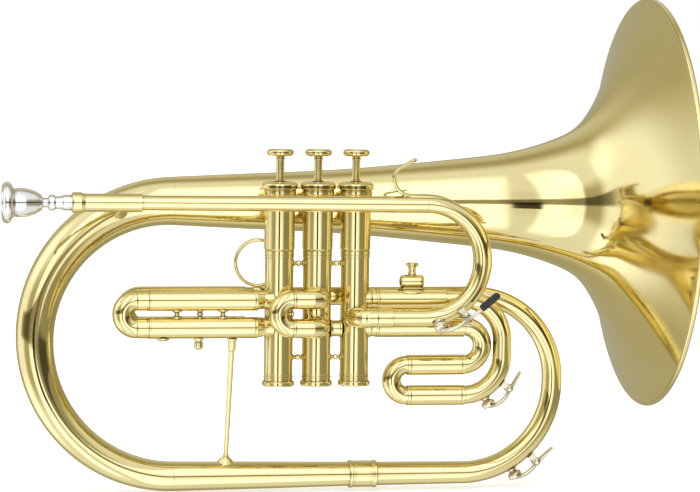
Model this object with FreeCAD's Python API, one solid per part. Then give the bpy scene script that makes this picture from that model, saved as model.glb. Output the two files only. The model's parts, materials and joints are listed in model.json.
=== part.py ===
import FreeCAD, Part
import math
import os

# Bell-front marching mellophone, all dimensions in millimetres.
# Frame: +X points out of the bell, +Z is up the valve stems, +Y is the far side of the horn.
# Origin: on the axis of the middle valve, level with the knuckles, where the left hand grips.

V = FreeCAD.Vector
X_AXIS = V(1, 0, 0)
Y_AXIS = V(0, 1, 0)
Z_AXIS = V(0, 0, 1)
FIT = 0.05                    # radial clearance of every running fit
GAP = 0.3                     # clearance between pieces that only come close to each other
FUSE_TOLERANCE = 0.00001

# Tubing
LEG_R = 6.35                  # inner slide tubes and plain bows
LEG_BORE = 5.85
SLEEVE_R = 7.15               # outer slide tubes
SLEEVE_BORE = LEG_R + FIT
KNUCKLE_R = 6.35
KNUCKLE_BORE = 5.8
WALL = 0.5

# Valves
PITCH = 25.8
VALVE_X = (-PITCH, 0.0, PITCH)
STROKE = 16.0
BORE_R = 8.5
CASING_R = 9.6
BARREL_R = 10.2
CASING_BOTTOM = -54.0
BARREL_BOTTOM = 34.5
BARREL_TOP = 69.2
CASING_TOP = 73.6
GUIDE_Z = 30.0
GUIDE_T = 2.5
PISTON_BOTTOM = -36.0
PISTON_TOP = 29.5
COLLAR_Z = 66.0
CAP_TOP = 79.6
STEM_R = 2.7
BUTTON_Z = 96.8
BUTTON_T = 4.4
BUTTON_R = 8.9
FLANGE_R = 10.8               # bottom caps
SKIRT_R = 11.0                # top caps
LINK_Z = -19.2                # height of the knuckles that join the three casings

# Planes that the tubes lie in
LEAD_Y = -17.5
LEAD_Z = 66.0
FIRST_Y = -5.0
SECOND_Y = -21.0
REAR_Y = 19.0
BOTTOM_Y = 22.0
BELL_Y = 34.0
BELL_Z = 64.5

# Bell, left bow and bottom run
MOUTH_X = 234.3
MOUTH_R = 139.7               # an 11 inch bell
RIM_BEAD_R = 1.8
BELL_WALL = 0.6
BOW_X = -93.7
BOTTOM_Z = -121.2
# (X, outer radius) down the bell; a smooth curve runs through them
BELL_CURVE = ((BOW_X, 16.4), (-34.0, 19.2), (17.0, 21.7), (60.0, 25.2), (101.0, 29.3), (144.0, 35.3),
              (170.0, 43.0), (188.6, 52.4), (203.0, 69.1), (218.0, 96.5), (MOUTH_X, MOUTH_R))
BELL_JOINT_X = 146.0          # the flare is brazed to the stem here
BOW_ROOT_R = 10.0             # radius of the left bow where the bottom run enters it
FERRULE_X = (27.0, 46.0)
JOINT_X = 36.0                # right bow and bottom tube meet here, inside the ferrule
BOTTOM_R = 8.1
RIGHT_BOW_X = 168.4
RIGHT_TOP_R = 57.0
RIGHT_LOW_R = 61.6

# Leadpipe, receiver and front bow
RECEIVER_X = (-166.3, -120.3)
LEAD_R = 4.95
LEAD_BORE = 4.2
FRONT_BOW_X = 71.35
BRANCH_Z = -10.7              # the front bow's lower leg
BRANCH_R = 5.9
BRANCH_JOINT = 48.2
ELBOW_R = 7.0

# First slide, with its bow to the left
FIRST_Z = (0.6, -17.9)
FIRST_SLEEVE_X = (-114.0, -41.3)
FIRST_BOW_X = -122.0
FIRST_BOW_TUBE = 6.9
FIRST_TRAVEL = 40.0

# Main tuning slide, behind the first slide
REAR_Z = (1.0, LINK_Z)
REAR_TUBE_R = 6.3
REAR_SLEEVE_R = 6.9
REAR_BORE = 6.0
REAR_LEG_R = REAR_BORE - FIT
REAR_SLEEVE_X = (-106.0, -46.1)
REAR_BOW_X = -117.0

# Second slide, in front of the casings
SECOND_Z = (2.2, -17.15)
SECOND_BORE = 6.0
SECOND_SLEEVE_R = 6.5
SECOND_END_X = -19.5

# Third slide, with its bows to the right
THIRD_Z = (0.45, -18.2)
THIRD_SLEEVE_START = 40.3
THIRD_SLEEVE_END = (87.7, 100.8)
RETURN_Z = (-44.2, -64.9)
RETURN_X = (62.4, 101.9)
RETURN_R = 6.9
BIG_BEND_X = 128.1
BIG_TOP_R = 28.0
BIG_LOW_R = 26.2

# Lyre holder on the upper third-slide sleeve
LYRE_X = (56.8, 73.0)
LYRE_Z = 12.4
LYRE_R = 4.6
LYRE_BORE = 2.5

# Water keys
PIVOT_HEIGHT = 5.6            # pivot above the tube
EAR_OFFSET = 3.7
PIN_R = 0.9
NIPPLE_H = 2.0
CUP_H = 3.4
CORK_R = 4.0
ARM_R = 1.35                  # levers
BOTTOM_KEY_Y = 21.0           # the right bow's plane where its key sits
BOTTOM_KEY_TUBE_R = 7.6

MOUTHPIECE_RIM_X = -211.8


# ---------------------------------------------------------------- helpers

def circle(place, heading, radius, side):
    """Circle across heading, with its seam towards side."""
    ring = Part.makeCircle(radius)
    turn = FreeCAD.Rotation(side, V(0, 0, 0), heading, "ZXY")
    ring.Placement = FreeCAD.Placement(place, turn)
    return Part.Wire(ring)


def any_side(heading):
    """A direction square to heading."""
    guide = Y_AXIS if abs(heading.y) < 0.9 * heading.Length else Z_AXIS
    return heading.cross(guide).normalize()


def disc(place, heading, radius, hole=0.0):
    side = any_side(heading)
    wires = [circle(place, heading, radius, side)]
    if hole:
        wires.append(circle(place, heading, hole, side))
    return Part.makeFace(wires, "Part::FaceMakerBullseye")


def rod(start, end, radius, hole=0.0):
    """Straight round bar, or tube where hole is given."""
    return disc(start, end - start, radius, hole).extrude(end - start)


def join(shapes):
    """One solid from shapes that share faces or overlap."""
    if len(shapes) == 1:
        return shapes[0]
    return shapes[0].multiFuse(shapes[1:], FUSE_TOLERANCE).removeSplitter()


def group(shapes):
    """Separate solids that share one node."""
    return Part.makeCompound(shapes)


def swept(start, heading, steps, section):
    """Bar of straight runs and arcs. A step is a length, or (arc radius, degrees, turning axis), and
    section(place, heading) is the face it starts from."""
    place = V(start)
    heading = V(heading).normalize()
    runs = []
    for step in steps:
        face = section(place, heading)
        if isinstance(step, tuple):
            arc_radius, degrees, axis = step
            centre = place + axis.cross(heading) * math.copysign(arc_radius, degrees)
            turn = FreeCAD.Rotation(axis, degrees)
            runs.append(face.revolve(centre, axis, degrees))
            place = centre + turn.multVec(place - centre)
            heading = turn.multVec(heading)
        else:
            runs.append(face.extrude(heading * step))
            place = place + heading * step
    return join(runs)


def bent_tube(start, heading, steps, radius, hole=0.0):
    """Round bar, or tube where hole is given, along the steps of swept()."""
    return swept(start, heading, steps, lambda place, along: disc(place, along, radius, hole))


def u_slide(bow_x, legs_end, y, levels, leg_r, bow_r, shoulder):
    """Slide with its bow to the left: two thin legs, and a bow of radius bow_r with short shoulders."""
    upper, lower = levels
    arc = (upper - lower) / 2
    reach = legs_end - bow_x
    start = V(legs_end, y, upper)
    path = [reach, (arc, -180, Y_AXIS), reach]
    slide = bent_tube(start, -X_AXIS, path, leg_r)
    if bow_r > leg_r:
        turn = [(arc, -180, Y_AXIS)]
        if shoulder:
            turn = [shoulder] + turn + [shoulder]
        slide = join([slide, bent_tube(V(bow_x + shoulder, y, upper), -X_AXIS, turn, bow_r)])
    return slide.cut(bent_tube(start, -X_AXIS, path, leg_r - WALL))


def lofted_bar(stations, side, wall=0.0):
    """Tapered bar through stations of (place, heading, outer radius), thinner by wall."""
    return Part.makeLoft([circle(p, h, r - wall, side) for p, h, r in stations], True)


def lofted_tube(stations, side, wall):
    return lofted_bar(stations, side).cut(lofted_bar(stations, side, wall))


def turned(outline, base, axis):
    """Solid of revolution. The outline is (height, radius) points; a triple starting with a point and
    'arc' and ending with a point is an arc through the first point to the last."""
    def spot(pair):
        return V(pair[1], 0, pair[0])
    edges = []
    last = spot(outline[0])
    for item in outline[1:]:
        if len(item) == 3:
            middle, end = spot(item[0]), spot(item[2])
            edges.append(Part.Arc(last, middle, end).toShape())
        else:
            end = spot(item)
            edges.append(Part.LineSegment(last, end).toShape())
        last = end
    edges.append(Part.LineSegment(last, spot(outline[0])).toShape())
    solid = Part.Face(Part.Wire(edges)).revolve(V(0, 0, 0), Z_AXIS, 360)
    solid.Placement = FreeCAD.Placement(base, FreeCAD.Rotation(Z_AXIS, axis))
    return solid


def chain(points, radius):
    """Round bar through points, with ball corners."""
    bars = [rod(a, b, radius) for a, b in zip(points, points[1:])]
    balls = [Part.makeSphere(radius, p) for p in points[1:-1]]
    return join(bars + balls)


def baluster(start, end, waist, bead):
    """Small turned brace with a flared foot at each end and a bead in the middle."""
    length = (end - start).Length
    half = length / 2
    outline = ((0, 0), (0, bead * 1.15), (length * 0.16, bead * 0.9), (length * 0.26, waist),
               (half - bead * 0.6, waist), ((half, bead), "arc", (half + bead * 0.6, waist)),
               (length * 0.74, waist), (length * 0.84, bead * 0.9), (length, bead * 1.15), (length, 0))
    return turned(outline, start, end - start)


def bore_cut(x, y, z, direction, radius=KNUCKLE_BORE):
    """Port drill from the middle of a casing outwards."""
    start = V(x, y, z)
    return rod(start, start + direction * (2 * CASING_R), radius)


# ---------------------------------------------------------------- bell and the big bows

def left_bow_station(angle):
    """Place, heading and radius on the left bow; angle 0 is at the bottom and 180 at the bell."""
    low = V(BOW_X, BOTTOM_Y, BOTTOM_Z)
    high = V(BOW_X, BELL_Y, BELL_Z)
    up = (high - low).normalize()
    middle = (low + high) / 2
    arc_radius = (high - low).Length / 2
    a = math.radians(angle)
    place = middle - up * (arc_radius * math.cos(a)) - X_AXIS * (arc_radius * math.sin(a))
    heading = up * math.sin(a) - X_AXIS * math.cos(a)
    share = angle / 180.0
    growth = BELL_CURVE[0][1] - BOW_ROOT_R
    return place, heading, BOW_ROOT_R + growth * (0.69 * share + 0.31 * share * share)


def left_bow_blank(wall=0.0):
    """The left bow's outside, filled, thinner by wall."""
    stations = [left_bow_station(15.0 * step) for step in range(13)]
    across = V(0, BELL_Z - BOTTOM_Z, BOTTOM_Y - BELL_Y).normalize()
    return lofted_bar(stations, across, wall)


def left_bow():
    return left_bow_blank().cut(left_bow_blank(WALL))


def bell_blank(wall=0.0):
    """The bell's outside, filled, thinner by wall."""
    curve = Part.BSplineCurve()
    curve.interpolate([V(x, 0, r - wall) for x, r in BELL_CURVE])
    ends = [V(MOUTH_X, 0, 0), V(BOW_X, 0, 0)]
    path = [curve.EndPoint] + ends + [curve.StartPoint]
    edges = [curve.toShape()] + [Part.LineSegment(a, b).toShape() for a, b in zip(path, path[1:])]
    solid = Part.Face(Part.Wire(edges)).revolve(V(0, 0, 0), X_AXIS, 360)
    solid.translate(V(0, BELL_Y, BELL_Z))
    return solid


def bell_halves():
    """The bell's stem, which the left bow leads into, and the spun flare brazed to it."""
    shell = bell_blank().cut(bell_blank(BELL_WALL))
    reach = 2 * MOUTH_R
    corner = V(BELL_JOINT_X, BELL_Y - MOUTH_R, BELL_Z - MOUTH_R)
    beyond = Part.makeBox(reach, reach, reach, corner)
    return shell.cut(beyond), shell.common(beyond)


def bell_rim():
    """Wire-filled bead round the mouth."""
    return Part.makeTorus(MOUTH_R, RIM_BEAD_R, V(MOUTH_X + RIM_BEAD_R, BELL_Y, BELL_Z), X_AXIS)


def bottom_tube():
    start = V(JOINT_X, BOTTOM_Y, BOTTOM_Z)
    run = JOINT_X - BOW_X
    outer = ((0, BOTTOM_R), (run * 0.5, 0.5 * (BOTTOM_R + BOW_ROOT_R) + 0.1), (run, BOW_ROOT_R))
    outline = outer + tuple((h, r - WALL) for h, r in reversed(outer))
    return turned(outline, start, -X_AXIS)


def bottom_ferrule():
    length = FERRULE_X[1] - FERRULE_X[0]
    hole = BOTTOM_R + 0.25
    band = hole + 0.7
    bead = hole + 1.1
    outline = ((0, hole), (0, bead), (2.2, bead), (2.6, band), (length - 2.6, band),
               (length - 2.2, bead), (length, bead), (length, hole))
    return turned(outline, V(FERRULE_X[0], BOTTOM_Y, BOTTOM_Z), X_AXIS)


def right_bow():
    """Large bow from the rear tube, down the right-hand side and back along the bottom."""
    centre_top = V(RIGHT_BOW_X - RIGHT_TOP_R, 0, REAR_Z[0] - RIGHT_TOP_R)
    centre_low = V(RIGHT_BOW_X - RIGHT_LOW_R, 0, BOTTOM_Z + RIGHT_LOW_R)
    steps = 6
    places = []
    for step in range(steps):
        a = math.radians(90.0 - 90.0 * step / steps)
        out = V(math.cos(a), 0, math.sin(a))
        places.append((centre_top + out * RIGHT_TOP_R, V(out.z, 0, -out.x)))
    places.append((V(RIGHT_BOW_X, 0, (centre_top.z + centre_low.z) / 2), -Z_AXIS))
    for step in range(1, steps + 1):
        a = math.radians(-90.0 * step / steps)
        out = V(math.cos(a), 0, math.sin(a))
        places.append((centre_low + out * RIGHT_LOW_R, V(out.z, 0, -out.x)))
    run = centre_low.x - JOINT_X
    for step in range(1, steps):
        places.append((V(centre_low.x - run * step / (steps - 1), 0, BOTTOM_Z), -X_AXIS))
    stations = []
    last = len(places) - 1
    for number, (place, heading) in enumerate(places):
        share = number / last
        bend_share = min(1.0, number / (2.0 * steps))
        ease = bend_share * bend_share * (3 - 2 * bend_share)
        place.y = REAR_Y + (BOTTOM_Y - REAR_Y) * ease
        stations.append((place, heading, REAR_TUBE_R + (BOTTOM_R - REAR_TUBE_R) * share))
    return lofted_tube(stations, Y_AXIS, WALL)


# ---------------------------------------------------------------- leadpipe side

def receiver():
    """Mouthpiece receiver: end ring, body and the step down to the leadpipe."""
    length = RECEIVER_X[1] - RECEIVER_X[0]
    hole_mouth = 5.3 + FIT
    hole_end = 4.85 + FIT
    outline = ((0, hole_mouth), (0, 6.6), ((0.9, 7.0), "arc", (1.8, 7.0)), (6.0, 7.0), (7.9, 6.4),
               (8.4, 6.1), (length - 3.0, 6.1), (length, LEAD_R + 0.5), (length, LEAD_R + 0.03),
               (25.0, LEAD_R + 0.03), (25.0, hole_end))
    return turned(outline, V(RECEIVER_X[0], LEAD_Y, LEAD_Z), X_AXIS)


def leadpipe():
    start = RECEIVER_X[0] + 25.2
    return rod(V(start, LEAD_Y, LEAD_Z), V(FRONT_BOW_X, LEAD_Y, LEAD_Z), LEAD_R, LEAD_BORE)


def front_bow_radius(angle):
    """Outer radius of the front bow; angle 0 is at the leadpipe and 180 at the lower leg."""
    if angle <= 22.5:
        return LEAD_R
    if angle <= 90.0:
        return LEAD_R + 1.45 * math.sin(math.radians((angle - 22.5) * 90.0 / 67.5))
    return LEAD_R + 1.45 - (LEAD_R + 1.45 - BRANCH_R) * (angle - 90.0) / 90.0


def front_bow():
    radius = (LEAD_Z - BRANCH_Z) / 2
    centre = V(FRONT_BOW_X, LEAD_Y, BRANCH_Z + radius)
    stations = []
    for step in range(17):
        angle = 11.25 * step
        a = math.radians(90.0 - angle)
        place = centre + V(math.cos(a), 0, math.sin(a)) * radius
        heading = V(math.sin(a), 0, -math.cos(a))
        stations.append((place, heading, front_bow_radius(angle)))
    curve = lofted_tube(stations, Y_AXIS, 0.6)
    leg = rod(V(FRONT_BOW_X, LEAD_Y, BRANCH_Z), V(BRANCH_JOINT - 10.0, LEAD_Y, BRANCH_Z),
              BRANCH_R, BRANCH_R - 0.6)
    return join([curve, leg])


def inlet_elbow():
    """Sleeve of the lower leg and the elbow that turns it into the front of the third valve."""
    bore = BRANCH_R + FIT
    x3 = VALVE_X[2]
    sleeve = rod(V(BRANCH_JOINT, LEAD_Y, BRANCH_Z), V(x3 + ELBOW_R, LEAD_Y, BRANCH_Z), LEG_R + 0.1, bore)
    collar = rod(V(BRANCH_JOINT, LEAD_Y, BRANCH_Z), V(38.3, LEAD_Y, BRANCH_Z), LEG_R + 0.35, LEG_R)
    reach = -LEAD_Y - ELBOW_R
    turn = bent_tube(V(x3 + ELBOW_R, LEAD_Y, BRANCH_Z), -X_AXIS,
                     [(ELBOW_R, -90, Z_AXIS), reach], LEG_R + 0.1, bore)
    return join([sleeve, collar, turn]).cut(casing_blank(x3))


# ---------------------------------------------------------------- valves

def casing_blank(x):
    return rod(V(x, 0, CASING_BOTTOM), V(x, 0, CASING_TOP), CASING_R)


def casing(x, ports):
    """Valve casing: piston section, joint ring, wider spring barrel, and threads for both caps."""
    outline = ((CASING_BOTTOM, BORE_R), (CASING_BOTTOM, CASING_R), (-52.0, CASING_R + 0.35),
               (-50.5, CASING_R + 0.35), (-50.2, CASING_R), (28.8, CASING_R), (29.2, CASING_R + 0.35),
               (33.0, CASING_R + 0.35), (33.4, CASING_R), (BARREL_BOTTOM, BARREL_R),
               (BARREL_TOP, BARREL_R), (BARREL_TOP, CASING_R + 0.2), (CASING_TOP, CASING_R + 0.2),
               (CASING_TOP, BORE_R))
    shell = turned(outline, V(x, 0, 0), Z_AXIS)
    for port in ports:
        shell = shell.cut(port)
    return shell


def top_cap(x):
    """Domed screw cap over the spring barrel, with a hole for the stem."""
    bead = SKIRT_R + 0.6
    hole = STEM_R + 0.4
    thread = CASING_R + 0.2 + FIT
    outline = ((BARREL_TOP + 0.05, thread), (BARREL_TOP + 0.05, SKIRT_R), (73.8, SKIRT_R),
               (74.6, bead), ((76.2, bead + 0.3), "arc", (77.8, bead)), (78.4, bead - 1.2),
               ((CAP_TOP - 0.7, 8.0), "arc", (CAP_TOP, 4.4)), (CAP_TOP, hole), (77.6, hole), (77.6, 7.0),
               (CASING_TOP + 0.1, 7.0), (CASING_TOP + 0.1, thread))
    return turned(outline, V(x, 0, 0), Z_AXIS)


def bottom_cap(x):
    base = CASING_BOTTOM - 3.7
    seat = CASING_BOTTOM - 0.05
    spigot_top = CASING_BOTTOM + 1.2
    spigot_r = BORE_R - 0.1
    vent_r = 2.0
    outline = ((base, vent_r), (base, FLANGE_R - 0.9), ((base + 0.4, FLANGE_R - 0.2), "arc",
               (base + 1.3, FLANGE_R)), (base + 2.7, FLANGE_R), (seat, FLANGE_R - 0.7), (seat, spigot_r),
               (spigot_top, spigot_r), (spigot_top, spigot_r - 1.1), (base + 1.2, spigot_r - 1.1),
               (base + 1.2, vent_r))
    return turned(outline, V(x, 0, 0), Z_AXIS)


def valve_guide(x):
    return rod(V(x, 0, GUIDE_Z), V(x, 0, GUIDE_Z + GUIDE_T), BORE_R - FIT, STEM_R + 0.1)


def piston(x, cross_bores):
    """Piston body with its wind passages, hollowed from below."""
    radius = BORE_R - FIT
    body = rod(V(x, 0, PISTON_BOTTOM), V(x, 0, PISTON_TOP), radius)
    hollow = rod(V(x, 0, PISTON_BOTTOM), V(x, 0, PISTON_BOTTOM + 7.0), radius - 1.0)
    body = body.cut(hollow)
    for z, heading in cross_bores:
        reach = heading * (1.5 * radius)
        body = body.cut(rod(V(x, 0, z) - reach, V(x, 0, z) + reach, 4.6))
    return body


def stem(x):
    """Stem with its spring collar and finger button; the button's top is slightly dished."""
    collar_t = 1.6
    top = BUTTON_Z + BUTTON_T
    outline = ((PISTON_TOP + 0.02, 0), (PISTON_TOP + 0.02, STEM_R - 0.4), (COLLAR_Z, STEM_R - 0.4),
               (COLLAR_Z, BORE_R - 0.5), (COLLAR_Z + collar_t, BORE_R - 0.5),
               (COLLAR_Z + collar_t, STEM_R), (BUTTON_Z - 0.6, STEM_R),
               ((BUTTON_Z - 0.1, STEM_R + 0.4), "arc", (BUTTON_Z, STEM_R + 1.0)),
               (BUTTON_Z, BUTTON_R - 0.9),
               ((BUTTON_Z + BUTTON_T / 2, BUTTON_R), "arc", (top, BUTTON_R - 0.9)),
               (top - 0.3, BUTTON_R - 2.0), (top - 0.8, 0))
    return turned(outline, V(x, 0, 0), Z_AXIS)


def valve_spring(x):
    """Compression spring between the valve guide and the stem's collar."""
    wire_r = 0.45
    coil_r = 6.3
    low = GUIDE_Z + GUIDE_T + wire_r + 0.1
    high = COLLAR_Z - wire_r - 0.1
    path = Part.makeHelix((high - low) / 9.0, high - low, coil_r)
    section = circle(V(coil_r, 0, 0), Y_AXIS, wire_r, X_AXIS)
    coil = Part.Wire(path).makePipeShell([section], True, True)
    coil.translate(V(x, 0, low))
    return coil


def knuckles():
    """The two short tubes that lead the wind from the third casing to the second and the first."""
    tubes = []
    for left, right in zip(VALVE_X, VALVE_X[1:]):
        tube = rod(V(left, 0, LINK_Z), V(right, 0, LINK_Z), 5.45, 4.8)
        tubes.append(tube.cut(casing_blank(left)).cut(casing_blank(right)))
    return group(tubes)


def casing_braces():
    bars = []
    for left, right in zip(VALVE_X, VALVE_X[1:]):
        for z in (24.9, -38.4):
            start = V(left + CASING_R - 0.15, 0, z)
            end = V(right - CASING_R + 0.15, 0, z)
            bar = baluster(start, end, 1.2, 1.9)
            bars.append(bar.cut(casing_blank(left)).cut(casing_blank(right)))
    return group(bars)


def outlet():
    """Elbow from the rear of the first valve to the lower leg of the main tuning slide."""
    start = V(VALVE_X[0], 0, LINK_Z)
    heading = V(-0.5, math.sqrt(0.75), 0)
    arc_radius = 16.0
    straight = (REAR_Y - arc_radius * 0.5) / heading.y
    tube = bent_tube(start, heading, [straight, (arc_radius, 60, Z_AXIS)], KNUCKLE_R, KNUCKLE_BORE)
    return tube.cut(casing_blank(VALVE_X[0]))


# ---------------------------------------------------------------- first slide

def first_sleeves():
    """Outer tubes of the first slide, with the short knuckles that enter the first casing."""
    tubes = []
    for z in FIRST_Z:
        sleeve = rod(V(FIRST_SLEEVE_X[0], FIRST_Y, z), V(FIRST_SLEEVE_X[1], FIRST_Y, z),
                     SLEEVE_R, SLEEVE_BORE)
        lip = rod(V(FIRST_SLEEVE_X[0], FIRST_Y, z), V(FIRST_SLEEVE_X[0] + 1.5, FIRST_Y, z),
                  SLEEVE_R + 0.1, SLEEVE_BORE)
        knuckle = rod(V(FIRST_SLEEVE_X[1], FIRST_Y, z), V(VALVE_X[0], FIRST_Y, z),
                      KNUCKLE_R + 0.25, KNUCKLE_BORE)
        tubes.append(join([sleeve, lip, knuckle]).cut(casing_blank(VALVE_X[0])))
    return group(tubes)


def first_struts():
    """Two hourglass struts, the beaded centre post and the small bosses on the first-slide sleeves."""
    upper, lower = FIRST_Z
    top = upper - SLEEVE_R + 1.0
    bottom = lower + SLEEVE_R - 1.0
    pieces = []
    for x in (-95.0, -64.2):
        half = (top - bottom) / 2
        outline = ((0, 0), (0, 3.4), (1.3, 3.2), (2.1, 1.7), (half, 1.35), (2 * half - 2.1, 1.7),
                   (2 * half - 1.3, 3.2), (2 * half, 3.4), (2 * half, 0))
        pieces.append(turned(outline, V(x, FIRST_Y, bottom), Z_AXIS))
    post = baluster(V(-79.6, FIRST_Y, bottom), V(-79.6, FIRST_Y, top), 1.3, 2.0)
    pieces.append(post)
    boss = turned(((0, 0), (0, 4.2), (1.2, 4.0), ((2.0, 2.6), "arc", (2.3, 0.01)), (2.3, 0)),
                  V(-104.2, FIRST_Y, lower - SLEEVE_R + 0.6), -Z_AXIS)
    screw = turned(((0, 0), (0, 3.1), (1.6, 3.1), (2.0, 2.4), (3.0, 2.4), (3.2, 3.0), (6.2, 3.0),
                    ((7.8, 2.2), "arc", (8.4, 0.01)), (8.4, 0)),
                   V(-80.4, FIRST_Y, lower - SLEEVE_R + 0.6), -Z_AXIS)
    pieces += [boss, screw]
    tubes = [rod(V(-115.0, FIRST_Y, z), V(-40.0, FIRST_Y, z), SLEEVE_R) for z in FIRST_Z]
    return group([piece.cut(tubes[0]).cut(tubes[1]) for piece in pieces])


def first_slide():
    """Inner tubes and bow of the first slide."""
    shoulder = FIRST_SLEEVE_X[0] - GAP - FIRST_BOW_X
    return u_slide(FIRST_BOW_X, FIRST_SLEEVE_X[1] - 4.0, FIRST_Y, FIRST_Z, LEG_R, FIRST_BOW_TUBE, shoulder)


# ---------------------------------------------------------------- main tuning slide, behind the first

def rear_sleeves():
    tubes = []
    for z in REAR_Z:
        tubes.append(rod(V(REAR_SLEEVE_X[0], REAR_Y, z), V(REAR_SLEEVE_X[1], REAR_Y, z),
                         REAR_SLEEVE_R, REAR_BORE))
    return group(tubes)


def rear_tube():
    """Plain tube that runs behind the three valves to the right bow."""
    start = V(REAR_SLEEVE_X[1], REAR_Y, REAR_Z[0])
    end = V(RIGHT_BOW_X - RIGHT_TOP_R, REAR_Y, REAR_Z[0])
    return rod(start, end, REAR_TUBE_R, REAR_TUBE_R - WALL)


def main_slide():
    """Inner tubes and bow of the main tuning slide."""
    shoulder = REAR_SLEEVE_X[0] - GAP - REAR_BOW_X
    return u_slide(REAR_BOW_X, REAR_SLEEVE_X[1] - 3.0, REAR_Y, REAR_Z, REAR_LEG_R, REAR_SLEEVE_R, shoulder)


# ---------------------------------------------------------------- second slide

def second_sleeves():
    """Short outer tubes of the second slide and their elbows into the front of the middle casing."""
    tubes = []
    arc = 7.0
    for z in SECOND_Z:
        sleeve = bent_tube(V(SECOND_END_X, SECOND_Y, z), X_AXIS,
                           [-SECOND_END_X - arc, (arc, 90, Z_AXIS), -SECOND_Y - arc],
                           SECOND_SLEEVE_R, SECOND_BORE)
        tubes.append(sleeve.cut(casing_blank(0)))
    return group(tubes)


def second_slide():
    """Inner tubes and bow of the second slide, with the pull knob inside its bow."""
    bow_x = SECOND_END_X - GAP
    slide = u_slide(bow_x, -7.5, SECOND_Y, SECOND_Z, SECOND_BORE - FIT, LEG_R, 0.0)
    middle = (SECOND_Z[0] + SECOND_Z[1]) / 2
    arc = (SECOND_Z[0] - SECOND_Z[1]) / 2
    inside = V(bow_x - arc + LEG_R - 0.4, SECOND_Y, middle)
    knob = turned(((0, 0), (0, 2.0), (1.0, 1.5), (2.6, 1.3), ((3.6, 2.0), "arc", (5.0, 0.01)), (5.0, 0)),
                  inside, X_AXIS)
    return slide.fuse(knob).removeSplitter()


# ---------------------------------------------------------------- third slide

def third_sleeves():
    tubes = []
    for z, end in zip(THIRD_Z, THIRD_SLEEVE_END):
        sleeve = rod(V(THIRD_SLEEVE_START, 0, z), V(end, 0, z), SLEEVE_R, SLEEVE_BORE)
        lip = rod(V(end - 1.5, 0, z), V(end, 0, z), SLEEVE_R + 0.1, SLEEVE_BORE)
        knuckle = rod(V(VALVE_X[2], 0, z), V(THIRD_SLEEVE_START, 0, z), KNUCKLE_R + 0.25, KNUCKLE_BORE)
        tubes.append(join([sleeve, lip, knuckle]).cut(casing_blank(VALVE_X[2])))
    return group(tubes)


def third_small_bend():
    """Lower inner tube of the third slide and the small bend that turns it back."""
    low, back = THIRD_Z[1], RETURN_Z[0]
    start = THIRD_SLEEVE_START + 3.0
    arc = (low - back) / 2
    end = THIRD_SLEEVE_END[1] + GAP
    return bent_tube(V(start, 0, low), X_AXIS, [end - start, (arc, 180, Y_AXIS), 6.5], LEG_R, LEG_BORE)


def third_big_bend():
    """Upper inner tube of the third slide and the wide bend on its right."""
    top, low = THIRD_Z[0], RETURN_Z[1]
    start = THIRD_SLEEVE_START + 3.0
    straight = BIG_BEND_X - BIG_TOP_R - start
    drop = top - BIG_TOP_R - (low + BIG_LOW_R)
    return bent_tube(V(start, 0, top), X_AXIS,
                     [straight, (BIG_TOP_R, 90, Y_AXIS), drop, (BIG_LOW_R, 90, Y_AXIS), 6.5],
                     LEG_R, LEG_BORE)


def third_returns():
    """The two outer tubes between the right-hand bends and the small left-hand bow."""
    return group([rod(V(RETURN_X[0], 0, z), V(RETURN_X[1], 0, z), RETURN_R, SLEEVE_BORE) for z in RETURN_Z])


def third_bow():
    """Small left-hand bow of the third slide, which pulls out for tuning."""
    bow_x = RETURN_X[0] - GAP
    return u_slide(bow_x, bow_x + 22.0, 0, RETURN_Z, LEG_R, LEG_R, 0.0)


# ---------------------------------------------------------------- water keys

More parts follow.
